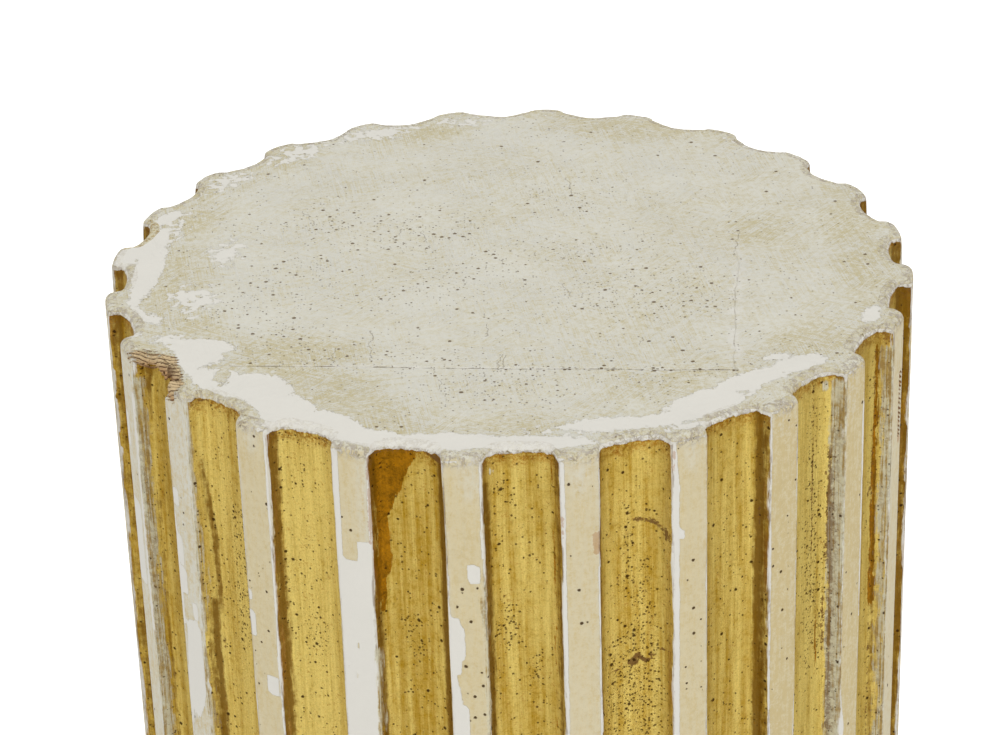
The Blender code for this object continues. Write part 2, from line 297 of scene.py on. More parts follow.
class PedestalStage(bpy.types.PropertyGroup):
    """Camera and light."""

    lens: FloatProperty(name="Lens", description="Focal length in millimetres", default=116.9)
    world_strength: FloatProperty(name="Surroundings", description="Light from all round", default=0.79)
    key_power: FloatProperty(name="Key light", description="Power of the softbox at the right", default=14.0)
    fill_power: FloatProperty(name="Fill light", description="Power of the softbox at the left", default=7.0)
    top_power: FloatProperty(name="Top light", description="Power of the softbox overhead", default=7.0)
    strip_power: FloatProperty(
        name="Strip lights", description="Power of the strips that the gilding reflects", default=2.8
    )


# Steady random fields for the meshes


def hashed(cells, seed):
    """A steady random number from -1 to 1 for each whole-numbered cell."""
    mixed = cells[..., 0] * 73856093 ^ cells[..., 1] * 19349663 ^ cells[..., 2] * 83492791
    mixed = (mixed ^ seed * 2654435761) & 0xFFFFFFFF
    mixed = ((mixed ^ (mixed >> 13)) * 1274126177) & 0xFFFFFFFF
    mixed ^= mixed >> 16
    return mixed / 0x7FFFFFFF - 1


def noise(points, cell, seed):
    """Smooth noise from -1 to 1 at each point, with bumps about one cell wide."""
    scaled = np.asarray(points, float) / cell
    corner = np.floor(scaled).astype(np.int64)
    part = scaled - corner
    ease = part * part * (3 - 2 * part)
    total = np.zeros(scaled.shape[:-1])
    for step in np.ndindex(2, 2, 2):
        share = np.prod(np.where(step, ease, 1 - ease), axis=-1)
        total += share * hashed(corner + step, seed)
    return total


def layered(points, cell, seed, layers=3):
    """Noise with finer and fainter layers added, still near -1 to 1."""
    total = sum(noise(points, cell / 2**n, seed + n) / 2**n for n in range(layers))
    return total / (2 - 2 ** (1 - layers))


def eased(values, low, high):
    share = np.clip((values - low) / (high - low), 0, 1)
    return share * share * (3 - 2 * share)


def inside_ovals(x, y, ovals, softness=1.0):
    """Distance in mm inside the nearest edge of the ovals, negative outside them."""
    best = np.full(np.shape(x), FAR_OUTSIDE)
    for middle_x, middle_y, length, width, turn in ovals:
        c, s = math.cos(math.radians(turn)), math.sin(math.radians(turn))
        along = ((x - middle_x) * c + (y - middle_y) * s) / length
        across = ((y - middle_y) * c - (x - middle_x) * s) / width
        reach = (1 - np.sqrt(along**2 + across**2)) * min(length, width) * softness
        best = np.maximum(best, reach)
    return best


def inside_boxes(number, across, drop, boxes):
    """The same for upright boxes, each on one numbered flute or fillet."""
    best = np.full(np.shape(across), FAR_OUTSIDE)
    for place, middle, down, half_width, half_height in boxes:
        side = half_width - np.abs(across - middle)
        end = half_height - np.abs(drop - down)
        reach = np.where(number == place, np.minimum(side, end), FAR_OUTSIDE)
        best = np.maximum(best, reach)
    return best


def inside_strokes(number, across, drop, strokes):
    """The same for tapered strokes, each from one point to another on a numbered flute or fillet."""
    best = np.full(np.shape(across), FAR_OUTSIDE)
    for place, start_across, start_drop, start_half, end_across, end_drop, end_half in strokes:
        run_across, run_drop = end_across - start_across, end_drop - start_drop
        from_across, from_drop = across - start_across, drop - start_drop
        along = from_across * run_across + from_drop * run_drop
        share = np.clip(along / (run_across**2 + run_drop**2 + 1e-9), 0, 1)
        off = np.hypot(from_across - share * run_across, from_drop - share * run_drop)
        reach = start_half + share * (end_half - start_half) - off
        best = np.maximum(best, np.where(number == place, reach, FAR_OUTSIDE))
    return best


def random_strokes(rng, count, numbers, drops, halves, lengths, reach):
    """Strokes scattered over the numbered places, for the parts that no view fixes."""
    made = []
    for _ in range(count):
        across = rng.uniform(-reach, reach)
        start = rng.uniform(*drops)
        end = min(start + rng.uniform(*lengths), drops[1])
        start_half, end_half = rng.uniform(*halves), rng.uniform(*halves)
        place = int(rng.choice(numbers))
        end_across = across + rng.uniform(-1, 1)
        made.append((place, across, start, start_half, end_across, end, end_half))
    return made


# The shaft's shape


class Fluting:
    """Everything that the shaft's surface needs to know about its flutes."""

    def __init__(self, sizes):
        self.radius = sizes.shaft_radius
        self.count = sizes.flute_count
        self.period = 2 * math.pi * self.radius / self.count
        self.half = (self.period - sizes.fillet_width) / 2
        self.depth = sizes.flute_depth
        self.power = sizes.flute_squareness
        self.arris = sizes.arris_rounding
        self.softening = sizes.arris_softening
        self.rim = sizes.rim_rounding

    def columns(self):
        """Places of the columns of all flutes and fillets, close together at the arrises."""
        open_part = np.linspace(0, self.half - 3 * MM, 8)[:-1]
        edge_part = np.linspace(self.half - 3 * MM, self.half + 2.6 * MM, 9)
        fillet_part = np.linspace(self.half + 2.6 * MM, self.period / 2, 4)[1:]
        half = np.concatenate([open_part, edge_part, fillet_part])
        whole = np.concatenate([-half[:0:-1], half])[1:]
        return np.concatenate([whole + flute * self.period for flute in range(self.count)])

    def place(self, arc):
        """The flute nearest to each arc length, from the front, and the distance from its middle."""
        flute = np.round(arc / self.period)
        return flute, arc - flute * self.period

    def wobble(self, edge, drop):
        """How far a hand-cut edge strays from its line."""
        points = np.stack([edge * 3.7 + 0.5, np.zeros_like(drop), drop], -1)
        slow = noise(points / (1, 1, 40 * MM), 1.0, SEED)
        quick = noise(points / (1, 1, 7 * MM), 1.0, SEED + 1)
        fine = noise(points / (1, 1, 3 * MM), 1.0, SEED + 2)
        return (0.32 * slow + 0.12 * quick + 0.06 * fine) * MM

    def cut(self, arc, drop):
        """Depth of the surface under the fillets' face, and distance out from the arris, both in metres."""
        flute, across = self.place(arc)
        around = np.mod(flute, self.count)
        left = -self.half + self.wobble(2 * around, drop)
        right = self.half + self.wobble(2 * around + 1, drop)
        middle, half = (left + right) / 2, (right - left) / 2
        out = np.abs(across - middle) - half
        bite = self.arris * (1 + 0.35 * self.wobble(60 + 2 * around + (across > 0), drop) / (0.5 * MM))
        # The rim is rounder, most of all at the back.
        behind = (1 - np.cos(arc / self.radius)) / 2
        bite = bite + self.softening * (1 + 1.6 * behind) * np.exp(-drop / ((1.6 + 4.0 * behind) * MM))
        share = np.clip(np.abs(across - middle) / half, 0, 1)
        deep = self.depth * (1 + 0.05 * hashed_flute(around))
        inner = bite + (deep - bite) * (1 - share**self.power) ** (1 / self.power)
        turn = 1 - np.clip(out / bite, 0, 1)
        outer = bite * (1 - np.sqrt(1 - turn**2))
        cut = np.where(out < 0, inner, outer)
        wave = self.depth * 0.92 * (0.5 + 0.5 * np.cos(2 * math.pi * across / self.period))
        waved = 0.75 * eased(behind, 0.3, 0.9) * np.exp(-drop / (7 * MM))
        return cut + (wave - cut) * waved, out


def hashed_flute(around):
    cells = np.stack([around, around * 0 + 3, around * 0 + 5], -1).astype(np.int64)
    return hashed(cells, SEED)


def on_level(x, y):
    """The places as points at height 0."""
    return np.stack([x, y, np.zeros_like(x)], -1)


def top_dip(x, y):
    """How far the top lies under its highest level, with a slight step at the board's front joint."""
    points = on_level(x, y)
    slow = 0.10 * (1 + noise(points, 45 * MM, SEED + 20))
    brushed = 0.03 * (1 + noise(points, 6 * MM, SEED + 21))
    worn = 0.12 * eased(inside_ovals(x / MM, y / MM, TOP_BARE), -1.0, 2.0)
    step = 0.10 * eased(joint_front(x, y), -1.5 * MM, 0.5 * MM)
    return (slow + brushed + worn + step) * MM


def joint_front(x, y):
    """Distance in front of the board's front edge."""
    along = -x * math.sin(BOARD_TURN) + y * math.cos(BOARD_TURN)
    return -along - BOARD_SIDE / 2


def joint_right(x, y):
    """Distance to the right of the board's right edge."""
    return x * math.cos(BOARD_TURN) + y * math.sin(BOARD_TURN) - BOARD_SIDE / 2


def add_field(mesh, name, values):
    layer = mesh.attributes.new(name, "FLOAT", "POINT")
    layer.data.foreach_set("value", np.asarray(values, np.float32).ravel())


def new_object(name, data):
    made = bpy.data.objects.new(name, data)
    bpy.context.scene.collection.objects.link(made)
    return made


def piece_of(mesh, material):
    """A smooth-shaded object that has the mesh's name, kept sharp at steep folds."""
    mesh.update()
    mesh.materials.append(material)
    mesh.shade_smooth()
    mesh.set_sharp_from_angle(angle=SHARP_FOLD)
    return new_object(mesh.name, mesh)


def mesh_piece(name, points, faces, material):
    mesh = bpy.data.meshes.new(name)
    mesh.from_pydata([tuple(p) for p in points], [], faces)
    return piece_of(mesh, material)


def mesh_from(name, bm):
    """The bmesh as a mesh, and its points."""
    mesh = bpy.data.meshes.new(name)
    bm.to_mesh(mesh)
    bm.free()
    points = np.zeros(len(mesh.vertices) * 3)
    mesh.vertices.foreach_get("co", points)
    return mesh, points.reshape(-1, 3)


def grid_faces(rows, columns):
    """Quads between the rows of a closed band, seen from outside, with the rows running down."""
    faces = []
    for row in range(rows - 1):
        start, under = row * columns, (row + 1) * columns
        for column in range(columns):
            after = (column + 1) % columns
            faces.append((start + column, under + column, under + after, start + after))
    return faces


def shaft_rows(fluting):
    """The rows of the shaft as (inset, drop) before wear, from the flat of the top down to the foot."""
    rim = fluting.rim
    rows = [(rim + 2 * MM, 0.0), (rim + 1 * MM, 0.0)]
    for step in range(9):
        turn = math.pi / 2 * step / 8
        rows.append((rim * (1 - math.sin(turn)), rim * (1 - math.cos(turn))))
    height = SHAFT_HIGH.z - SHAFT_LOW.z
    near = np.arange(rim + 0.8 * MM, 13 * MM, 0.9 * MM)
    seen = np.arange(14 * MM, 134 * MM, 2.3 * MM)
    lower = np.linspace(140 * MM, height, 26)
    return rows + [(0.0, drop) for drop in np.concatenate([near, seen, lower])]


def torn_reach(x, y):
    """Distance in mm inside the torn places of the rim."""
    return inside_ovals(x / MM, y / MM, RIM_TORN)


def torn_sink(x, y):
    """How far the torn wood lies under the rim: a slope, ribbed with fibres."""
    reach = torn_reach(x, y)
    across_fibres = (y * math.cos(FIBRE_TURN) - x * math.sin(FIBRE_TURN)) / (0.9 * MM)
    along_fibres = (x * math.cos(FIBRE_TURN) + y * math.sin(FIBRE_TURN)) / (14 * MM)
    ribs = noise(np.stack([across_fibres, along_fibres, np.zeros_like(x)], -1), 1.0, SEED + 60)
    return (0.6 * np.clip(reach + 0.5, 0, 5) + 0.45 * ribs * eased(reach, -0.6, 1.2)) * MM


def fillet_of(fluting, arcs):
    """The fillet at each arc length, counted from the one right of the front flute, and the mm across it."""
    periods = arcs / fluting.period - 0.5
    fillet = np.mod(np.round(periods) + fluting.count / 2, fluting.count) - fluting.count / 2
    return fillet, (periods - np.round(periods)) * fluting.period / MM


def shaft_points(fluting):
    """Points of the shaft's coat as rows by columns, and the fields that its material reads."""
    arc = fluting.columns()
    rows = np.array(shaft_rows(fluting))
    angle = arc / fluting.radius
    direction = np.stack([np.sin(angle), -np.cos(angle), np.zeros_like(angle)], -1)
    ring = direction * fluting.radius
    waves, ripples = layered(ring, 9 * MM, SEED + 5), layered(ring, 3 * MM, SEED + 9)
    worn_rim = fluting.rim * (1 + 0.34 * waves + 0.14 * ripples)
    swell = (worn_rim - fluting.rim)[None, :]
    flat = rows[:, 1:] == 0
    near_rim = np.exp(-rows[:, 1:] / (6 * MM))
    scale = np.where(rows[:, 1:] <= fluting.rim, worn_rim[None, :] / fluting.rim, 1.0)
    inset = rows[:, :1] * scale
    drop = np.where(rows[:, 1:] <= fluting.rim, rows[:, 1:] * scale, rows[:, 1:] + swell * near_rim)
    drop[-1] = SHAFT_HIGH.z - SHAFT_LOW.z
    inset[0] = fluting.rim + 2 * MM + swell
    arcs = np.broadcast_to(arc, drop.shape)
    cut, out = fluting.cut(arcs, np.maximum(drop, 0))
    radial = fluting.radius - cut - inset
    base = direction[None] * radial[..., None]
    base[..., 2] = SHAFT_HIGH.z - drop

    # Chips and dents: a little along stretches of the arrises and the rim, always inwards.
    at_arris = np.exp(-((out / (1.2 * MM)) ** 2)) * eased(layered(base, 30 * MM, SEED + 7), -0.1, 0.5)
    at_rim = np.exp(-(((drop - 1 * MM) / (3 * MM)) ** 2)) * ~flat
    rough = layered(base, 5 * MM, SEED + 8, 2)
    rugged = 0.6 + 1.9 * eased(layered(base, 28 * MM, SEED + 12), -0.2, 0.5)
    rugged *= 1 - 0.8 * eased(inside_ovals(ring[:, 0] / MM, ring[:, 1] / MM, TOP_BARE), -14, -4)
    chip = np.clip(rough - 0.15, 0, 1) * (0.5 * at_arris + rugged * at_rim) * MM
    dents = 0.08 * MM * (1 + layered(base, 14 * MM, SEED + 11)) * (drop > 0)
    fillet, across_fillet = fillet_of(fluting, arcs)
    gap = inside_boxes(fillet, across_fillet, drop / MM, FILLET_TORN)
    fibres = layered(base / (1, 1, 6), 2.4 * MM, SEED + 14)
    split = eased(gap, -0.6, 1.0) * (1.3 + 0.8 * fibres) * MM
    fade = 1 - eased(drop, 4 * MM, 15 * MM)
    sink = torn_sink(base[..., 0], base[..., 1]) * fade
    base -= direction[None] * (chip + dents + split + sink * ~flat)[..., None]
    on_top = 1 - eased(drop, 0.5 * fluting.rim, 1.5 * fluting.rim)
    base[..., 2] -= chip * at_rim * 0.6 + sink * on_top
    base[..., 2] -= np.where(drop <= fluting.rim, top_dip(base[..., 0], base[..., 1]), 0)
    torn = np.maximum(torn_reach(base[..., 0], base[..., 1]) - FIELD_REACH * (1 - fade), gap)
    return base, arcs, drop, out, np.clip(torn, -FIELD_REACH, FIELD_REACH)


def side_fields(fluting, arcs, drop, rng):
    """Fields on the shaft's side: distances in mm inside each kind of wear."""
    flute, across = fluting.place(arcs)
    flute = np.where(flute >= fluting.count / 2, flute - fluting.count, flute)
    fillet, across_fillet = fillet_of(fluting, arcs)
    across, down = across / MM, drop / MM
    every = list(range(-12, 12))
    hidden = [n for n in every if n not in SEEN_PLACES]
    foot = (SHAFT_HIGH.z - SHAFT_LOW.z) / MM
    wall = 13.6  # from the middle of a flute

    def scattered(count, halves, lengths, reach):
        upper = random_strokes(rng, count, hidden, (3, SEEN_DROP), halves, lengths, reach)
        return upper + random_strokes(rng, count * 9, every, (SEEN_DROP, foot), halves, lengths, reach)

    # Both walls of every flute that no view fixes get the darker gilding too: partly tarnish, partly painted
    # shade
    walls = [(n, at, 0, 1.2, at, foot, 1.2) for n in hidden for at in (-wall, wall)]
    bare = inside_boxes(fillet, across_fillet, down, FILLET_BARE)
    strips = list(FILLET_BARE_STROKES) + scattered(14, (0.6, 2.8), (2, 40), 7)
    bare = np.maximum(bare, inside_strokes(fillet, across_fillet, down, strips))
    kept = inside_boxes(fillet, across_fillet, down, FILLET_KEPT)
    speckled = inside_strokes(flute, across, down, list(FLUTE_SPECKLED) + scattered(5, (3, 9), (8, 40), 9))
    crowded = list(FILLET_SPECKLED) + scattered(4, (2, 5), (8, 40), 5)
    on_fillets = inside_strokes(fillet, across_fillet, down, crowded)
    flute_strokes = {
        "amber": list(FLUTE_AMBER) + scattered(5, (0.8, 3.0), (15, 90), 13),
        "shade": list(FLUTE_SHADE) + walls,
        "grime": list(FLUTE_GRIME) + scattered(7, (0.3, 1.4), (1, 14), 13),
        "dusty": list(FLUTE_DUST) + scattered(2, (0.5, 1.4), (20, 90), 15),
    }
    bole = list(FILLET_BOLE) + scattered(3, (0.3, 1.2), (2, 16), 7.4)
    fields = {
        "bare": np.where(kept > -1, np.minimum(bare, -kept), bare),
        "bole": inside_strokes(fillet, across_fillet, down, bole),
        "speckled": eased(np.maximum(speckled, on_fillets), -2, 2),
    }
    for name, strokes in flute_strokes.items():
        fields[name] = inside_strokes(flute, across, down, strokes)
    flute_tones, fillet_tones = dict(zip(SEEN_PLACES, FLUTE_TONES)), dict(zip(SEEN_PLACES, FILLET_TONES))
    fields["tone"] = sum(flute_tones.get(n, rng.uniform(-0.3, 0.2)) * (flute == n) for n in every)
    hue = sum(fillet_tones.get(n, rng.uniform(-0.4, 0.5)) * (fillet == n) for n in every)
    strokes = 0.45 * eased(inside_strokes(fillet, across_fillet, down, FILLET_PALE), -3, 3)
    fields["pale"] = np.clip(np.maximum(hue, 0) + strokes, 0, 1)
    fields["stained"] = 0.30 + np.maximum(-hue, 0)
    return {name: np.clip(values, -FIELD_REACH, FIELD_REACH) for name, values in fields.items()}


def top_fields(x, y):
    """Fields on the top, from a place in metres."""
    across, along = x / MM, y / MM
    points = on_level(x, y)
    bare = inside_ovals(across, along, TOP_BARE)
    kept = inside_ovals(across, along, TOP_KEPT)
    near_rim = eased(np.hypot(across, along), 150, 164)
    patches = eased(layered(points, 22 * MM, SEED + 70), -0.4, 0.5)
    stained = 0.9 * eased(inside_ovals(across, along, TOP_STAINED), -14, 10)
    beside = eased(bare, -16, -1) * (0.5 + 0.4 * layered(points, 24 * MM, SEED + 71))
    warmer = 0.10 + 0.15 * eased(across, -60, 90) * (1 - 0.7 * eased(along, 10, 110))
    warmer = warmer + 0.16 * layered(points, 55 * MM, SEED + 72)
    reaches = {
        "bare": np.minimum(bare, -kept),
        "kept": kept,
        "flaked": inside_ovals(across, along, TOP_FLAKED),
        "torn": inside_ovals(across, along, RIM_TORN),
        "chip": inside_ovals(across, along, TORN_CHIP),
    }
    fields = {name: np.clip(values, -FIELD_REACH, FIELD_REACH) for name, values in reaches.items()}
    fields["stained"] = np.maximum(np.maximum(stained, beside), np.maximum(0.8 * near_rim * patches, warmer))
    fields["speckled"] = eased(inside_ovals(across, along, TOP_SPECKLED), -8, 8)
    return fields


def make_shaft(sizes, material):
    """The shaft's coat: fluted sides and rounded rim, closed inside by two flat ends."""
    fluting = Fluting(sizes)
    points, arcs, drop, out, torn = shaft_points(fluting)
    rows, columns = drop.shape
    rng = np.random.default_rng(SEED)
    fields = side_fields(fluting, arcs, drop, rng)
    top = top_fields(points[..., 0], points[..., 1])
    over = drop < 1.6 * MM
    for name in ("bare", "stained"):
        fields[name] = np.where(over, top[name], fields[name])
    for name in ("kept", "flaked", "chip"):
        fields[name] = np.where(drop < FIELD_REACH * MM, top[name], -FIELD_REACH)
    fields["out"] = out / MM
    fields["torn"] = torn
    recess = points[0] - np.array([0, 0, TOP_RECESS])
    whole = np.concatenate([recess[None], points])
    faces = grid_faces(rows + 1, columns)
    faces.append(tuple(range(columns)))
    faces.append(tuple(reversed(range(rows * columns, (rows + 1) * columns))))
    piece = mesh_piece("shaft_coat", whole.reshape(-1, 3), faces, material)
    for name, values in fields.items():
        add_field(piece.data, name, np.concatenate([values[:1], values]))
    return piece, points[0]


TOP_RING_GAP = 1.5 * MM
TOP_POINT_GAP = 0.75 * MM  # where points on a ring come closer than this, every other one is left out
TOP_MIDDLE = 2 * MM  # radius of the one face in the middle
TOP_COAT = 1.4 * MM  # thickness of the top's coat
TOP_RECESS = 1.5 * MM  # depth of the hollow in the shaft's coat that it lies in


def ring_points(angle, radius):
    return np.stack([np.sin(angle) * radius, -np.cos(angle) * radius], -1)


def make_top(rim_points, material):
    """The top's coat, from the shaft's rounded rim in to the axis, cut and sunk along the board's joints."""
    columns = len(rim_points)
    rim_angle = np.unwrap(np.arctan2(rim_points[:, 0], -rim_points[:, 1]))
    rim_radius = np.hypot(rim_points[:, 0], rim_points[:, 1])
    even = np.linspace(0, 2 * math.pi, columns, endpoint=False) + rim_angle[0]
    inner = rim_radius.min() - 3 * MM
    rings = [rim_points[:, :2]]
    for step in range(1, 7):
        share = step / 6
        angle = rim_angle * (1 - share) + even * share
        radius = rim_radius * (1 - share) + inner * share
        rings.append(ring_points(angle, radius))
    radius, count = inner - TOP_RING_GAP, columns
    while radius >= TOP_MIDDLE:
        if radius * 2 * math.pi / count < TOP_POINT_GAP and count % 2 == 0:
            count //= 2
        angle = np.linspace(0, 2 * math.pi, count, endpoint=False) + rim_angle[0]
        rings.append(ring_points(angle, radius))
        radius -= TOP_RING_GAP
    bm = bmesh.new()
    made = [[bm.verts.new((x, y, 0.0)) for x, y in ring] for ring in rings]
    for outer, inside in zip(made, made[1:]):
        join_rings(bm, outer, inside)
    bm.faces.new(made[-1])
    under = [bm.verts.new((v.co.x, v.co.y, -TOP_COAT)) for v in made[0]]
    for index, corner in enumerate(made[0]):
        after = (index + 1) % columns
        bm.faces.new((corner, under[index], under[after], made[0][after]))
    bm.faces.new(list(reversed(under)))
    cut_joint(bm, joint_normal(math.pi / 2))
    cut_joint(bm, joint_normal(0.0))
    bm.normal_update()
    mesh, points = mesh_from("top_coat", bm)
    x, y = points[:, 0], points[:, 1]
    fields = top_fields(x, y)
    fields["front"] = joint_front(x, y) / MM
    fields["right"] = joint_right(x, y) / MM
    on_face = points[:, 2] > -0.5 * MM
    points[:, 2] += SHAFT_HIGH.z - top_dip(x, y) - (joint_groove(x, y) + torn_sink(x, y)) * on_face
    points += joint_wander(x, y)
    mesh.vertices.foreach_set("co", points.ravel())
    for name, values in fields.items():
        add_field(mesh, name, values)
    return piece_of(mesh, material)


def joint_wander(x, y):
    """Sideways shift of the points near each joint, so that the joints aren't ruled lines."""
    shift = np.zeros((len(x), 3))
    points = on_level(x, y)
    joints = (
        (joint_normal(math.pi / 2), joint_front(x, y), 0.4),
        (joint_normal(0.0), joint_right(x, y), 1.1),
    )
    for normal, distance, stray in joints:
        along = points @ np.array([-normal.y, normal.x, 0.0])
        places = np.stack([along, np.full_like(along, stray), np.zeros_like(along)], -1)
        wave = (noise(places, 22 * MM, SEED + 31) + 0.45 * noise(places, 6 * MM, SEED + 32)) * stray * MM
        shift += np.outer(wave * np.exp(-((distance / (7 * MM)) ** 2)), np.array(normal))
    inner = eased(-np.hypot(x, y), -150 * MM, -135 * MM)
    return shift * inner[:, None]


def join_rings(bm, outer, inside):
    """Faces between two rings, where the inner one has as many points or half as many."""
    count = len(outer)
    halved = len(inside) < count
    for index in range(0, count, 2 if halved else 1):
        near, after = outer[index], outer[(index + 1) % count]
        if halved:
            last = outer[(index + 2) % count]
            first_in, next_in = inside[index // 2], inside[(index // 2 + 1) % len(inside)]
            bm.faces.new((near, after, first_in))
            bm.faces.new((after, next_in, first_in))
            bm.faces.new((after, last, next_in))
        else:
            bm.faces.new((near, after, inside[(index + 1) % count], inside[index]))


def joint_normal(quarter):
    """Direction across a joint of the turned board, out of the board."""
    turn = BOARD_TURN - quarter
    return Vector((math.cos(turn), math.sin(turn), 0.0))


GROOVE_HALF = 0.35 * MM


def slice_at(bm, place, normal, gap):
    """Cuts all faces along a plane, without taking anything away."""
    whole = list(bm.verts) + list(bm.edges) + list(bm.faces)
    bmesh.ops.bisect_plane(bm, geom=whole, dist=gap, plane_co=place, plane_no=normal)


def cut_joint(bm, normal):
    """Cuts the top's faces along both banks and the bed of one joint."""
    for offset in (-GROOVE_HALF, 0.0, GROOVE_HALF):
        slice_at(bm, normal * (BOARD_SIDE / 2 + offset), normal, 1e-7)


def joint_groove(x, y):
    """Depth of the open joints, along the board's front edge and two thirds of its right one."""
    front, right = joint_front(x, y), joint_right(x, y)
    points = on_level(x, y)
    uneven = 0.55 + 0.45 * layered(points, 12 * MM, SEED + 30)
    reach_front = eased(right, -BOARD_SIDE - 16 * MM, -BOARD_SIDE) * (1 - eased(right, 0, 1 * MM))
    reach_right = eased(-front, -1 * MM, 0) * (1 - eased(-front, 70 * MM, 130 * MM))
    bed_front = np.clip(1 - np.abs(front) / GROOVE_HALF, 0, 1) * reach_front
    bed_right = np.clip(1 - np.abs(right) / GROOVE_HALF, 0, 1) * reach_right
    return np.maximum(bed_front, 0.7 * bed_right) * uneven * 0.5 * MM


def moulding_profile(sizes):
    """Points down the moulding's outside, as (radius, height), with their spacing even enough to wear."""
    top, bottom = MOULDING_HIGH.z, MOULDING_LOW.z
    torus = sizes.torus_height / 2
    listel = sizes.shaft_radius + sizes.listel_projection
    centre = MOULDING_HIGH.x - torus
    edge = 1.0 * MM
    profile = [(sizes.shaft_radius - 14 * MM, top)]
    profile += [(listel - edge * 1.5, top), (listel - edge * 0.4, top - edge * 0.15), (listel, top - edge)]
    drop = top - (bottom + 2 * torus)
    profile += [(listel, top - drop / 2), (listel, top - drop + edge), (listel + edge * 0.3, top - drop)]
    for turn in np.linspace(math.pi / 2, -math.pi / 2, 25):
        profile.append((centre + torus * math.cos(turn), bottom + torus + torus * math.sin(turn)))
    profile.append((sizes.shaft_radius - 14 * MM, bottom))
    return np.array(profile)


def make_moulding(sizes, material):
    """The turned moulding under the shaft, with slight dents, closed inside."""
    profile = moulding_profile(sizes)
    count = 360
    angle = np.linspace(0, 2 * math.pi, count, endpoint=False)
    direction = np.stack([np.sin(angle), -np.cos(angle), np.zeros(count)], -1)
    points = direction[None] * profile[:, 0][:, None, None]
    points[..., 2] = profile[:, 1][:, None]
    dent = 0.25 * MM * (1 + layered(points, 16 * MM, SEED + 40)) * 0.5
    chip = np.clip(layered(points, 6 * MM, SEED + 43) - 0.45, 0, 1) * 1.6 * MM
    inwards = (dent + chip) * (np.abs(points[..., 2] - MOULDING_LOW.z) > 0.2 * MM)
    points -= direction[None] * inwards[..., None]
    rows = len(profile)
    faces = grid_faces(rows, count)
    faces.append(tuple(range(count)))
    faces.append(tuple(reversed(range((rows - 1) * count, rows * count))))
    return mesh_piece("moulding_coat", points.reshape(-1, 3), faces, material)


def make_plinth(sizes, material):
    """The plinth as a fine box with worn edges and corners."""
    half = (PLINTH_HIGH - PLINTH_LOW) / 2
    centre = (PLINTH_HIGH + PLINTH_LOW) / 2
    bm = bmesh.new()
    bmesh.ops.create_cube(bm, size=1.0)
    bmesh.ops.transform(bm, matrix=Matrix.Diagonal((half.x * 2, half.y * 2, half.z * 2, 1)), verts=bm.verts)
    bmesh.ops.bevel(
        bm, geom=list(bm.edges), offset=sizes.plinth_edge, segments=4, profile=0.5, affect="EDGES"
    )
    slices = {"x": np.arange(-0.19, 0.191, 6 * MM), "z": np.arange(-0.024, 0.0241, 4 * MM)}
    for normal, places in (((1, 0, 0), slices["x"]), ((0, 1, 0), slices["x"]), ((0, 0, 1), slices["z"])):
        for offset in places:
            slice_at(bm, Vector(normal) * offset, normal, 1e-6)
    mesh, points = mesh_from("plinth_coat", bm)
    box = np.array([half.x, half.y, half.z])
    near_edge = np.sort(box - np.abs(points), axis=1)[:, 1]
    wear = np.exp(-((near_edge / (4 * MM)) ** 2))
    chip = np.clip(layered(points, 9 * MM, SEED + 50) - 0.2, 0, 1) * 2.2 * MM * wear
    dent = 0.1 * MM * (1 + layered(points, 25 * MM, SEED + 53))
    standing = (points[:, 2] > -half.z + 0.5 * MM)[:, None]
    points -= np.sign(points) * (chip + dent)[:, None] * standing * (np.abs(points) > box - 5 * MM)
    points += np.array(centre)
    mesh.vertices.foreach_set("co", points.ravel())
    return piece_of(mesh, material)


# Materials


class Value:
    """The output of a node. A sum or product written with such values adds the Math nodes for it."""

    def __init__(self, nodes, socket):
        self.nodes, self.socket = nodes, socket

    def __add__(self, other):
        return self.nodes.maths("ADD", self, other)

    def __radd__(self, other):
        return self.nodes.maths("ADD", other, self)

    def __sub__(self, other):
        return self.nodes.maths("SUBTRACT", self, other)

    def __rsub__(self, other):
        return self.nodes.maths("SUBTRACT", other, self)

    def __mul__(self, other):
        return self.nodes.maths("MULTIPLY", self, other)

    def __rmul__(self, other):
        return self.nodes.maths("MULTIPLY", other, self)

    def __truediv__(self, other):
        return self.nodes.maths("DIVIDE", self, other)

    def __rtruediv__(self, other):
        return self.nodes.maths("DIVIDE", other, self)

    def __neg__(self):
        return self.nodes.maths("MULTIPLY", self, -1.0)

    def __abs__(self):
        return self.nodes.maths("ABSOLUTE", self)


class Outputs:
    """The outputs of one node, as values."""

    def __init__(self, nodes, sockets):
        self.nodes, self.sockets = nodes, sockets

    def __getitem__(self, key):
        return Value(self.nodes, self.sockets[key])


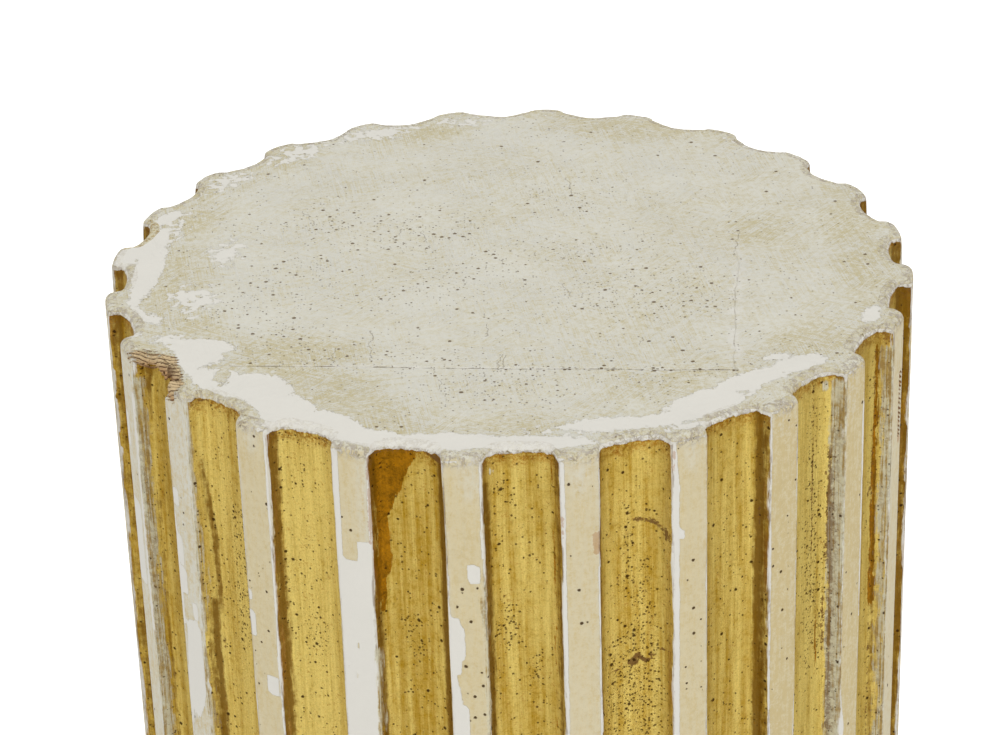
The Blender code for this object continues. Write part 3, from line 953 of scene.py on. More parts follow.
class Nodes:
    """Adds nodes to one tree, taking a number, a colour or another node's output for each input."""

    def __init__(self, tree):
        self.tree = tree

    def feed(self, socket, value):
        if isinstance(value, Value):
            self.tree.links.new(value.socket, socket)
        elif value is not None:
            filled = (*value, 1.0) if socket.type == "RGBA" and len(value) == 3 else value
            socket.default_value = filled

    def add(self, kind, inputs, **settings):
        made = self.tree.nodes.new(kind)
        for name, value in settings.items():
            setattr(made, name, value)
        for key, value in inputs.items():
            self.feed(made.inputs[key], value)
        return Outputs(self, made.outputs)

    def use(self, group, **inputs):
        made = self.tree.nodes.new("ShaderNodeGroup")
        made.node_tree = group
        for key, value in inputs.items():
            self.feed(made.inputs[key.replace("_", " ").capitalize()], value)
        return Outputs(self, made.outputs)

    def maths(self, operation, first, second=0.0):
        return self.add("ShaderNodeMath", {0: first, 1: second}, operation=operation)[0]

    def most(self, first, *others):
        total = first
        for other in others:
            total = self.maths("MAXIMUM", total, other)
        return total

    def ease(self, value, low, high, start=0.0, end=1.0):
        """start below low, end above high, and a smooth change between them."""
        inputs = {"Value": value, "From Min": low, "From Max": high, "To Min": start, "To Max": end}
        return self.add("ShaderNodeMapRange", inputs, interpolation_type="SMOOTHSTEP")["Result"]

    def spread(self, value, low, high, start, end):
        """The value read in a straight line from low and high to start and end."""
        inputs = {"Value": value, "From Min": low, "From Max": high, "To Min": start, "To Max": end}
        return self.add("ShaderNodeMapRange", inputs)["Result"]

    def tint(self, share, first, second):
        return self.add("ShaderNodeMix", {0: share, 6: first, 7: second}, data_type="RGBA")[2]

    def scaled(self, vector, factor):
        """A vector or a colour times a factor."""
        return self.add("ShaderNodeVectorMath", {0: vector, "Scale": factor}, operation="SCALE")[0]

    def noise(self, place, size, detail=2.0, roughness=0.5):
        """Noise from 0 to 1, with features about size wide in the units of place."""
        inputs = {"Vector": place, "Scale": 1 / size, "Detail": detail, "Roughness": roughness}
        return self.add("ShaderNodeTexNoise", inputs)["Fac"]

    def ripple(self, place, size, detail=2.0, roughness=0.5):
        """The same noise from -0.5 to 0.5."""
        return self.noise(place, size, detail, roughness) - 0.5

    def drawn_out(self, place, across, along, turn=0.0, detail=2.0, roughness=0.5):
        """Noise stretched into strokes: across wide and along long, turned from the second axis."""
        laid = self.add(
            "ShaderNodeMapping",
            {"Vector": place, "Rotation": (0.0, 0.0, math.radians(turn)), "Scale": (across, along, 1.0)},
            vector_type="TEXTURE",
        )
        return self.noise(laid[0], 1.0, detail, roughness)

    def upright(self, place, across, along, detail=2.0, roughness=0.5):
        """Noise from -0.5 to 0.5, stretched along the third axis."""
        laid = self.add(
            "ShaderNodeMapping", {"Vector": place, "Scale": (across, across, along)}, vector_type="TEXTURE"
        )
        return self.ripple(laid[0], 1.0, detail, roughness)

    def field(self, name):
        return self.add("ShaderNodeAttribute", {}, attribute_name=name)["Fac"]

    def bump(self, height_mm):
        return self.add("ShaderNodeBump", {"Height": height_mm, "Distance": MM, "Strength": 1.0})[0]


def new_group(name, inputs, outputs):
    """An empty node group with named sockets, given as label and kind, and its inner nodes."""
    tree = bpy.data.node_groups.new(name, "ShaderNodeTree")
    for label, kind in inputs:
        tree.interface.new_socket(label, in_out="INPUT", socket_type=f"NodeSocket{kind}")
    for label, kind in outputs:
        tree.interface.new_socket(label, in_out="OUTPUT", socket_type=f"NodeSocket{kind}")
    nodes = Nodes(tree)
    given = Outputs(nodes, tree.nodes.new("NodeGroupInput").outputs)
    result = tree.nodes.new("NodeGroupOutput").inputs
    return nodes, given, result


def group_once(name, build):
    """The node group of this name, built the first time that it is asked for."""
    return bpy.data.node_groups.get(name) or build(name)


def pits_group(name):
    """Wormholes and specks scattered through a surface, in a share of cells of a given size in mm."""
    nodes, given, result = new_group(
        name,
        [("Place", "Vector"), ("Share", "Float"), ("Cell", "Float"), ("Radius", "Float")],
        [("Mask", "Float")],
    )
    scale = 1.0 / given["Cell"]
    cells = nodes.add("ShaderNodeTexVoronoi", {"Vector": given["Place"], "Scale": scale})
    far = cells["Distance"] * given["Cell"]
    dice = nodes.add("ShaderNodeSeparateColor", {0: cells["Color"]})
    size = given["Radius"] * nodes.spread(dice[1], 0, 1, 0.45, 1.25)
    ragged = nodes.ripple(given["Place"], 0.7) * given["Radius"]
    hole = nodes.ease(far + ragged, size * 0.7, size * 1.15, 1.0, 0.0)
    used = nodes.maths("LESS_THAN", dice[0], given["Share"])
    nodes.feed(result["Mask"], hole * used)
    return nodes.tree


def ragged_group(name):
    """A crisp, broken mask from a distance in mm, positive inside."""
    nodes, given, result = new_group(
        name, [("Place", "Vector"), ("Distance", "Float"), ("Spread", "Float")], [("Mask", "Float")]
    )
    coarse = nodes.ripple(given["Place"], 5.0, 3.0, 0.6) * given["Spread"] * 2.4
    fine = nodes.ripple(given["Place"], 1.1, 3.0, 0.6) * given["Spread"] * 1.1
    edge = given["Distance"] + coarse + fine
    nodes.feed(result["Mask"], nodes.ease(edge, -0.14, 0.14))
    return nodes.tree


def paint_group(name):
    """Brushed paint with thin places and stains, and the white ground where it is lost."""
    nodes, given, result = new_group(
        name,
        [("Place", "Vector"), ("Lost", "Float"), ("Stained", "Float"), ("Strokes", "Float")]
        + [("Scratches", "Float"), ("Paint", "Color"), ("Stain", "Color"), ("Ground", "Color")]
        + [("Dirt", "Color")],
        [("Colour", "Color"), ("Roughness", "Float"), ("Height", "Float")],
    )
    place = given["Place"]
    clouds = nodes.ripple(place, 30.0, 2.0, 0.6)
    mottle = nodes.ripple(place, 2.6, 5.0, 0.75)
    grain = nodes.ripple(place, 0.7, 2.0, 0.7)
    strokes = given["Strokes"] - 0.5
    loose = mottle * 2.1 + strokes * 1.3 + grain * 1.2
    loose = loose * nodes.spread(given["Stained"], 0, 1, 0.6, 1.4)
    stain = 0.2 + given["Stained"] * 0.45 + loose + clouds * 0.5
    colour = nodes.tint(nodes.ease(stain, 0.0, 1.0), given["Paint"], given["Stain"])
    colour = nodes.scaled(colour, 1.0 + strokes * 0.15 + grain * 0.16)
    smudge = nodes.ease(mottle + grain * 0.5, 0.18, 0.34, 0.0, 0.38)
    smudge = smudge * nodes.spread(given["Stained"], 0, 1, 0.3, 1.0)
    colour = nodes.tint(smudge, colour, given["Dirt"])
    colour = nodes.tint(given["Scratches"] * 0.7, colour, given["Ground"])
    uneven = 1.0 + mottle * 0.06 + clouds * 0.05
    ground = nodes.scaled(given["Ground"], uneven)
    colour = nodes.tint(given["Lost"], colour, ground)
    nodes.feed(result["Colour"], colour)
    rough = 0.66 + grain * 0.3 + given["Lost"] * 0.12
    nodes.feed(result["Roughness"], rough)
    brushed = strokes * nodes.spread(given["Lost"], 0, 1, 0.13, 0.03)
    relief = given["Lost"] * -0.22 + brushed + mottle * 0.14
    relief = relief + grain * nodes.spread(given["Lost"], 0, 1, 0.14, 0.05)
    nodes.feed(result["Height"], relief - given["Scratches"] * 0.05)
    return nodes.tree


def gilding_group(name):
    """Burnished streaks along the place's third axis, with old varnish, darker wall gilding that is partly
    painted shade, grime and rubbed places.
    """
    nodes, given, result = new_group(
        name,
        [("Place", "Vector"), ("Amber share", "Float"), ("Shade share", "Float"), ("Grime share", "Float")]
        + [("Tone", "Float"), ("Gold", "Color"), ("Old gold", "Color"), ("Amber", "Color")]
        + [("Shade", "Color"), ("Grime", "Color")],
        [("Colour", "Color"), ("Roughness", "Float"), ("Metallic", "Float"), ("Height", "Float")],
    )
    place = given["Place"]
    broad = nodes.upright(place, 3.6, 70.0, 2.0, 0.6)
    streaks = nodes.upright(place, 0.7, 26.0, 4.0, 0.75)
    blotch = nodes.ripple(place, 4.0, 6.0, 0.78)
    crumbs = nodes.ripple(place, 1.0, 4.0, 0.8)
    light = broad * 1.3 + streaks * 0.7 + blotch * 1.3
    light = light + given["Tone"]
    colour = nodes.tint(nodes.ease(light + 0.5, 0.0, 1.05), given["Old gold"], given["Gold"])
    fine = streaks * 0.3 + crumbs * 0.8
    colour = nodes.scaled(colour, 1.0 + fine)
    speckle = nodes.ease(crumbs + blotch * 0.8, 0.06, 0.24, 0.0, 0.6)
    colour = nodes.tint(speckle, colour, given["Amber"])
    thick = 0.97 + blotch * 2.2 + broad * 1.6 + fine * 1.3
    amber = nodes.scaled(given["Amber"], thick)
    colour = nodes.tint(given["Amber share"] * 0.96, colour, amber)
    colour = nodes.tint(given["Shade share"] * 0.86, colour, given["Shade"])
    rubbed = nodes.noise(place, 1.7, 4.0, 0.75) + blotch * 0.3
    rubbed = rubbed + given["Grime share"] * 0.16
    colour = nodes.tint(nodes.ease(rubbed, 0.56, 0.74, 0.0, 0.50), colour, given["Amber"])
    scuff = given["Grime share"] + (crumbs + blotch) * 1.3
    scuff = nodes.ease(scuff, 0.36, 0.86, 0.0, 0.85)
    colour = nodes.tint(scuff, colour, given["Grime"])
    nodes.feed(result["Colour"], colour)
    rough = 0.44 + (streaks + blotch) * 0.18 + scuff * 0.25
    nodes.feed(result["Roughness"], rough)
    covered = given["Amber share"] + given["Shade share"]
    dull = scuff * 0.5 + covered * 0.3
    nodes.feed(result["Metallic"], nodes.ease(dull, 0.0, 0.7, 0.72, 0.1))
    relief = streaks * 0.1 + crumbs * 0.18 + blotch * 0.24
    nodes.feed(result["Height"], relief)
    return nodes.tree


def strokes_group(name):
    """Fine crossed strokes, from 0 to 1, and thin pale scratches among them."""
    nodes, given, result = new_group(
        name, [("Place", "Vector")], [("Strokes", "Float"), ("Scratches", "Float")]
    )
    place = given["Place"]
    total = None
    scratches = None
    sets = ((8, 0.40, 24, 34), (-38, 0.38, 20, 24), (58, 0.44, 22, 29), (-80, 0.38, 26, 38))
    for turn, across, along, patch in sets:
        lines = nodes.drawn_out(place, across, along, turn, 2.0, 0.6)
        here = nodes.ease(nodes.drawn_out(place, patch, patch * 0.8, turn * 2 + 5, 1.0), 0.30, 0.66)
        part = (lines - 0.5) * here * 1.7
        hairs = nodes.drawn_out(place, 0.34, along * 1.8, turn + 7, 1.0)
        thin = nodes.ease(hairs, 0.62, 0.74) * here
        total = part if total is None else total + part
        scratches = thin if scratches is None else nodes.most(scratches, thin)
    nodes.feed(result["Strokes"], total + 0.5)
    nodes.feed(result["Scratches"], scratches)
    return nodes.tree


def hairline_group(name):
    """A thin crack from one point to another, in the units of the place."""
    nodes, given, result = new_group(
        name,
        [("Place", "Vector"), ("Start", "Vector"), ("End", "Vector"), ("Width", "Float")],
        [("Mask", "Float")],
    )

    def vector(operation, first, second, output=0):
        return nodes.add("ShaderNodeVectorMath", {0: first, 1: second}, operation=operation)[output]

    way = vector("SUBTRACT", given["Place"], given["Start"])
    reach = vector("SUBTRACT", given["End"], given["Start"])
    covered, whole = vector("DOT_PRODUCT", way, reach, 1), vector("DOT_PRODUCT", reach, reach, 1)
    along = covered / whole
    foot = nodes.scaled(reach, nodes.spread(along, 0, 1, 0, 1))
    off = vector("LENGTH", vector("SUBTRACT", way, foot), (0, 0, 0), 1)
    nodes.feed(result["Mask"], nodes.ease(off, given["Width"], 0.0))
    return nodes.tree


def hairlines(nodes, place, lines, width):
    """All the hairline cracks of a surface, wavering a little, as one mask."""
    stray = nodes.add("ShaderNodeTexNoise", {"Vector": place, "Scale": 0.16, "Detail": 3.0})["Color"]
    stray = nodes.add("ShaderNodeVectorMath", {0: stray, 1: (0.5, 0.5, 0.5)}, operation="SUBTRACT")[0]
    moved = nodes.add("ShaderNodeVectorMath", {0: place, 1: nodes.scaled(stray, 7.0)}, operation="ADD")[0]
    level = nodes.add("ShaderNodeVectorMath", {0: moved, 1: (1.0, 1.0, 0.0)}, operation="MULTIPLY")[0]
    thin = width * nodes.ease(nodes.noise(place, 2.5, 2.0), 0.35, 0.6, 0.35, 1.2)
    hairline = group_once("Hairline", hairline_group)
    total = 0.0
    for start, end in lines:
        made = nodes.use(hairline, place=level, start=(*start, 0), end=(*end, 0), width=thin)
        total = nodes.most(total, made["Mask"])
    return total


def place_in_mm(nodes):
    """The object's own coordinates in millimetres."""
    where = nodes.add("ShaderNodeTexCoord", {})["Object"]
    return nodes.scaled(where, 1 / MM)


def place_around(nodes, radius):
    """The place seen from the axis, in millimetres: distance, height and arc length at a radius."""
    where = nodes.add("ShaderNodeSeparateXYZ", {0: place_in_mm(nodes)})
    angle = nodes.maths("ARCTAN2", where["X"], -where["Y"])
    squares = where["X"] * where["X"] + where["Y"] * where["Y"]
    far = nodes.maths("SQRT", squares)
    arc = angle * (radius / MM)
    return nodes.add("ShaderNodeCombineXYZ", {"X": far, "Y": where["Z"], "Z": arc})[0]


def new_material(name):
    material = bpy.data.materials.new(name)
    material.use_nodes = True
    material.node_tree.nodes.clear()
    nodes = Nodes(material.node_tree)
    shader = material.node_tree.nodes.new("ShaderNodeBsdfPrincipled")
    output = material.node_tree.nodes.new("ShaderNodeOutputMaterial")
    material.node_tree.links.new(shader.outputs["BSDF"], output.inputs["Surface"])
    return material, nodes, shader


def dress(nodes, shader, sheen, colour, roughness, height, metallic=None):
    """Feeds the shader of a material. The height of its relief is in mm."""
    nodes.feed(shader.inputs["Base Color"], colour)
    nodes.feed(shader.inputs["Roughness"], roughness)
    nodes.feed(shader.inputs["Metallic"], metallic)
    nodes.feed(shader.inputs["Normal"], nodes.bump(height))
    shader.inputs["Specular IOR Level"].default_value = sheen


def gild(nodes, colours, place, amber, shade, grime, tone):
    return nodes.use(
        group_once("Worn gilding", gilding_group),
        place=place,
        amber_share=amber,
        shade_share=shade,
        grime_share=grime,
        tone=tone,
        gold=colours.gold,
        old_gold=colours.old_gold,
        amber=colours.amber,
        shade=colours.shade,
        grime=colours.grime,
    )


def paint(nodes, colours, place, lost, stained, strokes, scratches, putty, stain):
    return nodes.use(
        group_once("Putty over gesso", paint_group),
        place=place,
        lost=lost,
        stained=stained,
        strokes=strokes,
        scratches=scratches,
        paint=putty,
        stain=stain,
        ground=colours.gesso,
        dirt=colours.grime,
    )


def pits(nodes, place, share, cell, radius):
    made = nodes.use(group_once("Pits", pits_group), place=place, share=share, cell=cell, radius=radius)
    return made["Mask"]


def ragged(nodes, place, distance, spread):
    made = nodes.use(group_once("Ragged edge", ragged_group), place=place, distance=distance, spread=spread)
    return made["Mask"]


def swing(nodes, place, size, reach, detail=3.0):
    """Noise around 0, as distances in mm up to about a third of the reach."""
    return nodes.ripple(place, size, detail, 0.6) * reach


def torn_wood(nodes, colours, solid, torn, chip, deep):
    """Torn wood on a surface: how bare it is, its colour and the height of its fibres."""
    splinter = nodes.ripple(solid, 2.4, 3.0, 0.7)
    laid = nodes.add("ShaderNodeMapping", {"Vector": solid, "Rotation": (0.0, 0.0, -FIBRE_TURN)})[0]
    stray = splinter * 0.8 + nodes.noise(solid, 8.0) * 2.4
    parts = nodes.add("ShaderNodeSeparateXYZ", {0: laid})
    bent = parts["Y"] + parts["Z"] + stray
    ribs = nodes.maths("SINE", bent * (2 * math.pi / 2.1))
    reach = torn + splinter * 3.0 + ribs * 0.5
    raw = nodes.ease(reach, -0.1, 0.5)
    warm = deep * 0.55 + nodes.ease(splinter, 0.06, 0.24, 0.0, 0.3)
    colour = nodes.tint(nodes.spread(warm, 0, 1, 0, 1), colours.wood, colours.bole)
    gaps = nodes.ease(ribs, 0.4, 0.9) * nodes.ease(splinter, -0.16, 0.04, 0.3, 1.0)
    colour = nodes.tint(gaps * 0.78, colour, colours.fibre)
    round_chip = nodes.ease(chip + splinter * 4.0, -3.4, -1.0, 0.0, 0.75)
    colour = nodes.tint(round_chip, colour, colours.fibre)
    colour = nodes.tint(nodes.ease(chip, -0.2, 0.2), colour, colours.gesso)
    return raw, colour, (1 - gaps) * raw


def shaft_material(colours):
    """Gilded flutes between painted fillets, with white arrises and a white rim."""
    material, nodes, shader = new_material("shaft finish")
    solid = place_in_mm(nodes)
    down = SHAFT_HIGH.z / MM - nodes.add("ShaderNodeSeparateXYZ", {0: solid})["Z"]
    out, speckled, kept = nodes.field("out"), nodes.field("speckled"), nodes.field("kept")
    upright = nodes.upright(solid, 1.6, 14.0, 4.0, 0.65)
    uneven = nodes.upright(solid, 4.0, 40.0, 3.0, 0.6)
    patchy = nodes.ripple(solid, 3.6, 4.0, 0.65)
    flecks = nodes.noise(solid, 1.5, 4.0, 0.72)

    # White ground beside the arrises, wider in some stretches, and along the rim
    strip = 0.8 - out + uneven * 3.4 + upright
    rim = 2.4 - down + patchy * 5.0
    on_top = nodes.ease(down, 2.2, 0.8)
    on_side = 1 - on_top
    flaked = patchy * 16.0 + nodes.field("flaked") * 0.5 - 1.8
    side_lost = nodes.most(strip, rim, nodes.field("bare"))
    top_lost = nodes.most(nodes.field("bare"), flaked)
    lost_reach = top_lost * on_top + side_lost * on_side
    lost_reach = nodes.maths("MINIMUM", lost_reach, -kept)
    lost = ragged(nodes, solid, lost_reach, nodes.spread(on_top, 0, 1, 0.45, 1.3))

    strokes = 0.5 + upright * on_side * 1.3
    scratches = nodes.ease(uneven, 0.18, 0.3) * on_side * 0.5
    pale = nodes.field("pale") + nodes.ease(out + patchy, 3.0, 0.6) * 0.3
    pale = nodes.most(nodes.spread(pale, 0, 1, 0, 1), on_top)
    putty = nodes.tint(pale, colours.side_putty, colours.top_putty)
    stain = nodes.tint(on_top, colours.ochre, colours.tan)
    painted = paint(nodes, colours, solid, lost, nodes.field("stained"), strokes, scratches, putty, stain)

    # Gilding lies inside the flutes, from a little under the rim down
    corner = nodes.ease(out, -2.0, 1.0) * 0.8
    lip = down - 2.8 + patchy * 3.0 - corner
    inside = -out + 0.35 + upright * 1.1
    reach = nodes.maths("MINIMUM", lip, inside)
    gold_mask = nodes.ease(reach, -0.10, 0.14)
    seam = nodes.ease(reach, -0.5, 0.1) * nodes.ease(reach, 1.0, 0.3)

    near_top = nodes.ease(lip + patchy * 10.0, 7.0, 0.5)
    rusty = near_top * nodes.ease(nodes.noise(solid, 1.6, 4.0, 0.8), 0.36, 0.6) * 0.95
    varnish = nodes.field("amber") + upright * 4.0 + patchy * 2.0
    amber = nodes.most(nodes.ease(varnish, -0.2, 0.3), rusty)
    # Darker gilding on the flutes' walls: partly tarnish, partly painted shade in the hollows
    shade = nodes.field("shade") + upright * 3.2 + patchy * 2.4
    shade = nodes.ease(shade, -0.7, 0.9)
    speck = (flecks - 0.5) * 3.0
    grime = nodes.field("grime") + patchy * 2.0 + speck
    grime = nodes.ease(grime, -0.5, 0.8)
    # The gilding is also made darker toward the top of each flute and toward its arrises
    edges = near_top * 0.36 + nodes.ease(out, -1.2, 0.1) * 0.22
    dirt = nodes.most(grime, edges)
    gilded = gild(nodes, colours, solid, amber, shade, dirt, nodes.field("tone"))

    on_paint = (1 - lost) * (0.09 + speckled * 0.4)
    on_gold = 0.18 + speckled * 0.44
    holes = pits(nodes, solid, nodes.tint(gold_mask, on_paint, on_gold), 3.0, 0.64)
    speck_share = (0.15 + speckled * 0.85) * gold_mask
    specks = pits(nodes, solid, speck_share, 1.3, 0.40)
    cracked = nodes.ease(flecks, nodes.spread(speckled, 0, 1, 0.74, 0.6), 0.76) * gold_mask * 0.7
    pitted = nodes.most(holes, specks * 0.8, cracked) * on_side

    colour = nodes.tint(gold_mask, painted["Colour"], gilded["Colour"])
    bole_line = seam * nodes.ease(uneven, 0.06, 0.16)
    bole = ragged(nodes, solid, nodes.field("bole"), 1.3) * (1 - gold_mask)
    reddish = nodes.most(bole_line * 0.25, bole * 0.45)
    colour = nodes.tint(reddish, colour, colours.bole)
    broken = nodes.ease(upright + patchy * 0.6, -0.1, 0.14)
    dark_seam = seam * broken * 0.38
    colour = nodes.tint(dark_seam, colour, colours.shade)
    stray = upright * 5.0 + patchy * 2.0
    dust = nodes.ease(nodes.field("dusty") + stray, -0.5, 0.6) * 0.95
    veins = nodes.upright(solid, 0.9, 36.0, 3.0, 0.65) + patchy * 0.45
    veins = veins + uneven * 0.3
    dusty = nodes.tint(nodes.ease(veins, -0.05, 0.13, 0.0, 0.80), colours.dust, colours.old_gold)
    dusty = nodes.tint(nodes.ease(grime, 0.1, 0.9) * 0.6, dusty, colours.grime)
    colour = nodes.tint(dust, colour, dusty)
    outer_seam = nodes.ease(reach, -0.9, -0.3) * nodes.ease(reach, 0.1, -0.2)
    grown = nodes.ease(upright + flecks * 0.3, 0.16, 0.3)
    mossy = outer_seam * grown * 0.5
    colour = nodes.tint(mossy * on_side, colour, colours.grime)
    # The rim is a crust of paint and ground, crazed and dirty
    band = nodes.ease(down, 6.0, 2.5) * nodes.ease(nodes.field("bare"), -1.5, 0.5, 1.0, 0.3)
    smudged = band * nodes.ease(flecks, 0.48, 0.6) * (1 - gold_mask) * 0.6
    colour = nodes.tint(smudged, colour, colours.tan)
    band = band * (1 - gold_mask)
    crazing = abs(nodes.ripple(solid, 3.2, 3.0, 0.6))
    colour = nodes.tint(band * nodes.ease(crazing, 0.035, 0.012) * 0.75, colour, colours.gesso)
    crumbled = nodes.most(nodes.ease(flecks, 0.61, 0.70), nodes.ease(crazing, 0.060, 0.040, 0.0, 0.5))
    specked = nodes.most(band, dust * 0.7) * crumbled
    specked = specked * nodes.ease(uneven, -0.1, 0.1, 0.35, 0.9)
    colour = nodes.tint(specked, colour, colours.grime)
    deep = nodes.ease(down, 2.5, 7.0)
    raw, wood, fibres = torn_wood(nodes, colours, solid, nodes.field("torn"), nodes.field("chip"), deep)
    colour = nodes.tint(raw, colour, wood)
    colour = nodes.tint(pitted * 0.92, colour, colours.hole)
    roughness = nodes.tint(gold_mask, painted["Roughness"], gilded["Roughness"])
    roughness = roughness + (raw + dust) * 0.3
    bright = (1 - raw) * (1 - pitted) * (1 - dust)
    metallic = gilded["Metallic"] * gold_mask * bright
    height = nodes.tint(gold_mask, painted["Height"] + 0.12, gilded["Height"])
    height = height - pitted * 0.35 + fibres * 0.45
    height = height - specked * 0.3
    dress(nodes, shader, SHAFT_SHEEN, colour, roughness, height, metallic)
    return material


def top_material(colours):
    """Putty paint on the top, with bare gesso, stains, strokes, wormholes and the board's joints."""
    material, nodes, shader = new_material("top finish")
    solid = place_in_mm(nodes)
    speckled, stained = nodes.field("speckled"), nodes.field("stained")
    reach = nodes.field("bare") + swing(nodes, solid, 2.2, 3.4, 4.0)
    flaked = swing(nodes, solid, 4.0, 14.0, 4.0) + nodes.field("flaked") * 0.45 - 2.0
    lost = ragged(nodes, solid, nodes.most(reach, flaked), 1.9)
    near_bare = nodes.ease(nodes.field("bare"), -9.0, 0.0)
    crumbs = near_bare * nodes.ease(nodes.noise(solid, 1.8, 3.0), 0.6, 0.68)
    lost = nodes.most(lost, crumbs * 0.6)
    crossed = nodes.use(group_once("Brush strokes", strokes_group), place=solid)
    strokes, scratches = crossed["Strokes"], crossed["Scratches"]
    painted = paint(nodes, colours, solid, lost, stained, strokes, scratches, colours.top_putty, colours.tan)
    kept_paint = 1 - lost
    crowded = speckled * 0.36
    holes = pits(nodes, solid, (0.05 + crowded) * kept_paint, 3.2, 0.74)
    specks = pits(nodes, solid, (0.14 + crowded) * kept_paint, 1.4, 0.34)
    front, right = nodes.field("front"), nodes.field("right")
    from_front, from_right = abs(front), abs(right)
    beside_joint = nodes.ease(from_front, 2.2, 0.8) * nodes.ease(right, -110.0, -50.0)
    beads = pits(nodes, solid, beside_joint * nodes.ease(right, 2.0, 0.0) * 0.7, 1.9, 0.62)
    pitted = nodes.most(holes * 0.95, specks * 0.75, beads)
    front_reach = nodes.ease(right, -212.0, -196.0) * nodes.ease(right, 1.0, 0.0)
    right_reach = nodes.ease(front, 1.0, 0.0) * nodes.ease(front, -135.0, -85.0)
    width = nodes.ease(nodes.noise(solid, 12.0, 3.0, 0.7), 0.40, 0.66, 0.22, 0.62)
    front_line = nodes.ease(from_front, width, 0.0) * front_reach
    right_line = nodes.ease(from_right, width, 0.0) * right_reach * 0.3
    broken = nodes.ease(nodes.noise(solid, 4.0, 3.0), 0.40, 0.54, 0.15, 1.0)
    crack = nodes.most(front_line, right_line) * broken
    # Filler squeezed from the right joint lies pale beside it; along the front joint a thin pale line is
    # partly filler and partly a painted highlight on the joint's edge.
    beside = nodes.ease(from_right + swing(nodes, solid, 6.0, 6.0), 4.5, 1.0, 0.0, 0.75)
    below = nodes.ease(from_front + swing(nodes, solid, 4.0, 2.0), 1.3, 0.4, 0.0, 0.6)
    pale_beside_joints = nodes.most(beside * right_reach, below * front_reach)
    pale_beside_joints = pale_beside_joints * nodes.ease(nodes.noise(solid, 7.0, 3.0), 0.38, 0.62)
    hairs = hairlines(nodes, solid, TOP_HAIRLINES, 0.32)
    ridges = hairlines(nodes, solid, TOP_RIDGES, 0.7) * 0.6

    colour = nodes.tint(nodes.most(pale_beside_joints, ridges), painted["Colour"], colours.gesso)
    colour = nodes.tint(crack * 0.85, colour, colours.pinhole)
    colour = nodes.tint(hairs * 0.45, colour, colours.pinhole)
    raw, wood, fibres = torn_wood(nodes, colours, solid, nodes.field("torn"), nodes.field("chip"), 0.0)
    colour = nodes.tint(raw, colour, wood)
    colour = nodes.tint(pitted * 0.9, colour, colours.pinhole)
    height = painted["Height"] - pitted * 0.3 - crack * 0.2
    height = height - hairs * 0.15 + pale_beside_joints * 0.1
    height = height + fibres * 0.45
    dress(nodes, shader, TOP_SHEEN, colour, painted["Roughness"], height)
    return material


def moulding_material(sizes, colours):
    """The same worn gilding as in the flutes, brushed around the torus."""
    material, nodes, shader = new_material("moulding finish")
    turned = place_around(nodes, sizes.shaft_radius)
    solid = place_in_mm(nodes)
    worn = nodes.ease(nodes.noise(solid, 30.0, 6.0, 0.62), 0.64, 0.655)
    amber = nodes.ease(nodes.noise(solid, 22.0, 3.0), 0.58, 0.66)
    shade = nodes.ease(nodes.noise(turned, 9.0, 4.0), 0.52, 0.75, 0.0, 0.8)
    grime = nodes.ease(nodes.noise(solid, 14.0, 3.0), 0.55, 0.8, 0.0, 0.6)
    gilded = gild(nodes, colours, turned, amber, shade, grime, 0.0)
    painted = paint(nodes, colours, solid, worn, 0.3, 0.5, 0.0, colours.side_putty, colours.ochre)
    colour = nodes.tint(worn, gilded["Colour"], painted["Colour"])
    roughness = nodes.tint(worn, gilded["Roughness"], painted["Roughness"])
    metallic = gilded["Metallic"] * (1 - worn)
    height = gilded["Height"] - worn * 0.2
    dress(nodes, shader, PAINT_SHEEN, colour, roughness, height, metallic)
    return material


def plinth_material(colours):
    """Putty paint over gesso, rubbed white along the edges."""
    material, nodes, shader = new_material("plinth finish")
    solid = place_in_mm(nodes)
    parts = nodes.add("ShaderNodeSeparateXYZ", {0: solid})
    half = (PLINTH_HIGH.x - PLINTH_LOW.x) / 2 / MM
    gap_x = half - abs(parts["X"])
    gap_y = half - abs(parts["Y"])
    gap_z = PLINTH_HIGH.z / MM - parts["Z"]
    upper = nodes.maths("MINIMUM", nodes.most(gap_x, gap_z), nodes.most(gap_y, gap_z))
    edge = 2.6 - nodes.maths("MINIMUM", nodes.most(gap_x, gap_y), upper)
    scattered = (nodes.noise(solid, 46.0, 4.0, 0.6) - 0.66) * 60.0
    lost = ragged(nodes, solid, nodes.most(edge, scattered), 1.8)
    crossed = nodes.use(group_once("Brush strokes", strokes_group), place=solid)
    strokes, scratches = crossed["Strokes"], crossed["Scratches"]
    painted = paint(nodes, colours, solid, lost, 0.35, strokes, scratches, colours.side_putty, colours.ochre)
    dress(nodes, shader, PAINT_SHEEN, painted["Colour"], painted["Roughness"], painted["Height"])
    return material


# Operators


def hand_over(piece, node):
    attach(piece, BODY)
    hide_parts(node)


class MakeShaftAndTop(bpy.types.Operator):
    """Make the coats of the shaft and of its top, which share the rim"""

    bl_idname = "pedestal.shaft_and_top"
    bl_label = "Shaft and top"

    def execute(self, context):
        sizes, colours = context.scene.pedestal_sizes, context.scene.pedestal_colours
        shaft, rim_points = make_shaft(sizes, shaft_material(colours))
        top = make_top(rim_points, top_material(colours))
        hand_over(shaft, "fluted_shaft")
        hand_over(top, "top_board")
        return {"FINISHED"}


class MakeBase(bpy.types.Operator):
    """Make the turned moulding and the plinth"""

    bl_idname = "pedestal.base"
    bl_label = "Moulding and plinth"

    def execute(self, context):
        sizes, colours = context.scene.pedestal_sizes, context.scene.pedestal_colours
        moulding = make_moulding(sizes, moulding_material(sizes, colours))
        plinth = make_plinth(sizes, plinth_material(colours))
        hand_over(moulding, "base_moulding")
        hand_over(plinth, "plinth")
        return {"FINISHED"}


CAMERA_FROM_TOP = Vector((-0.0168, -1.2386, 0.5901))
CAMERA_YAW = math.radians(0.55)
CAMERA_PITCH = math.radians(27.31)
CAMERA_ROLL = math.radians(-1.81)


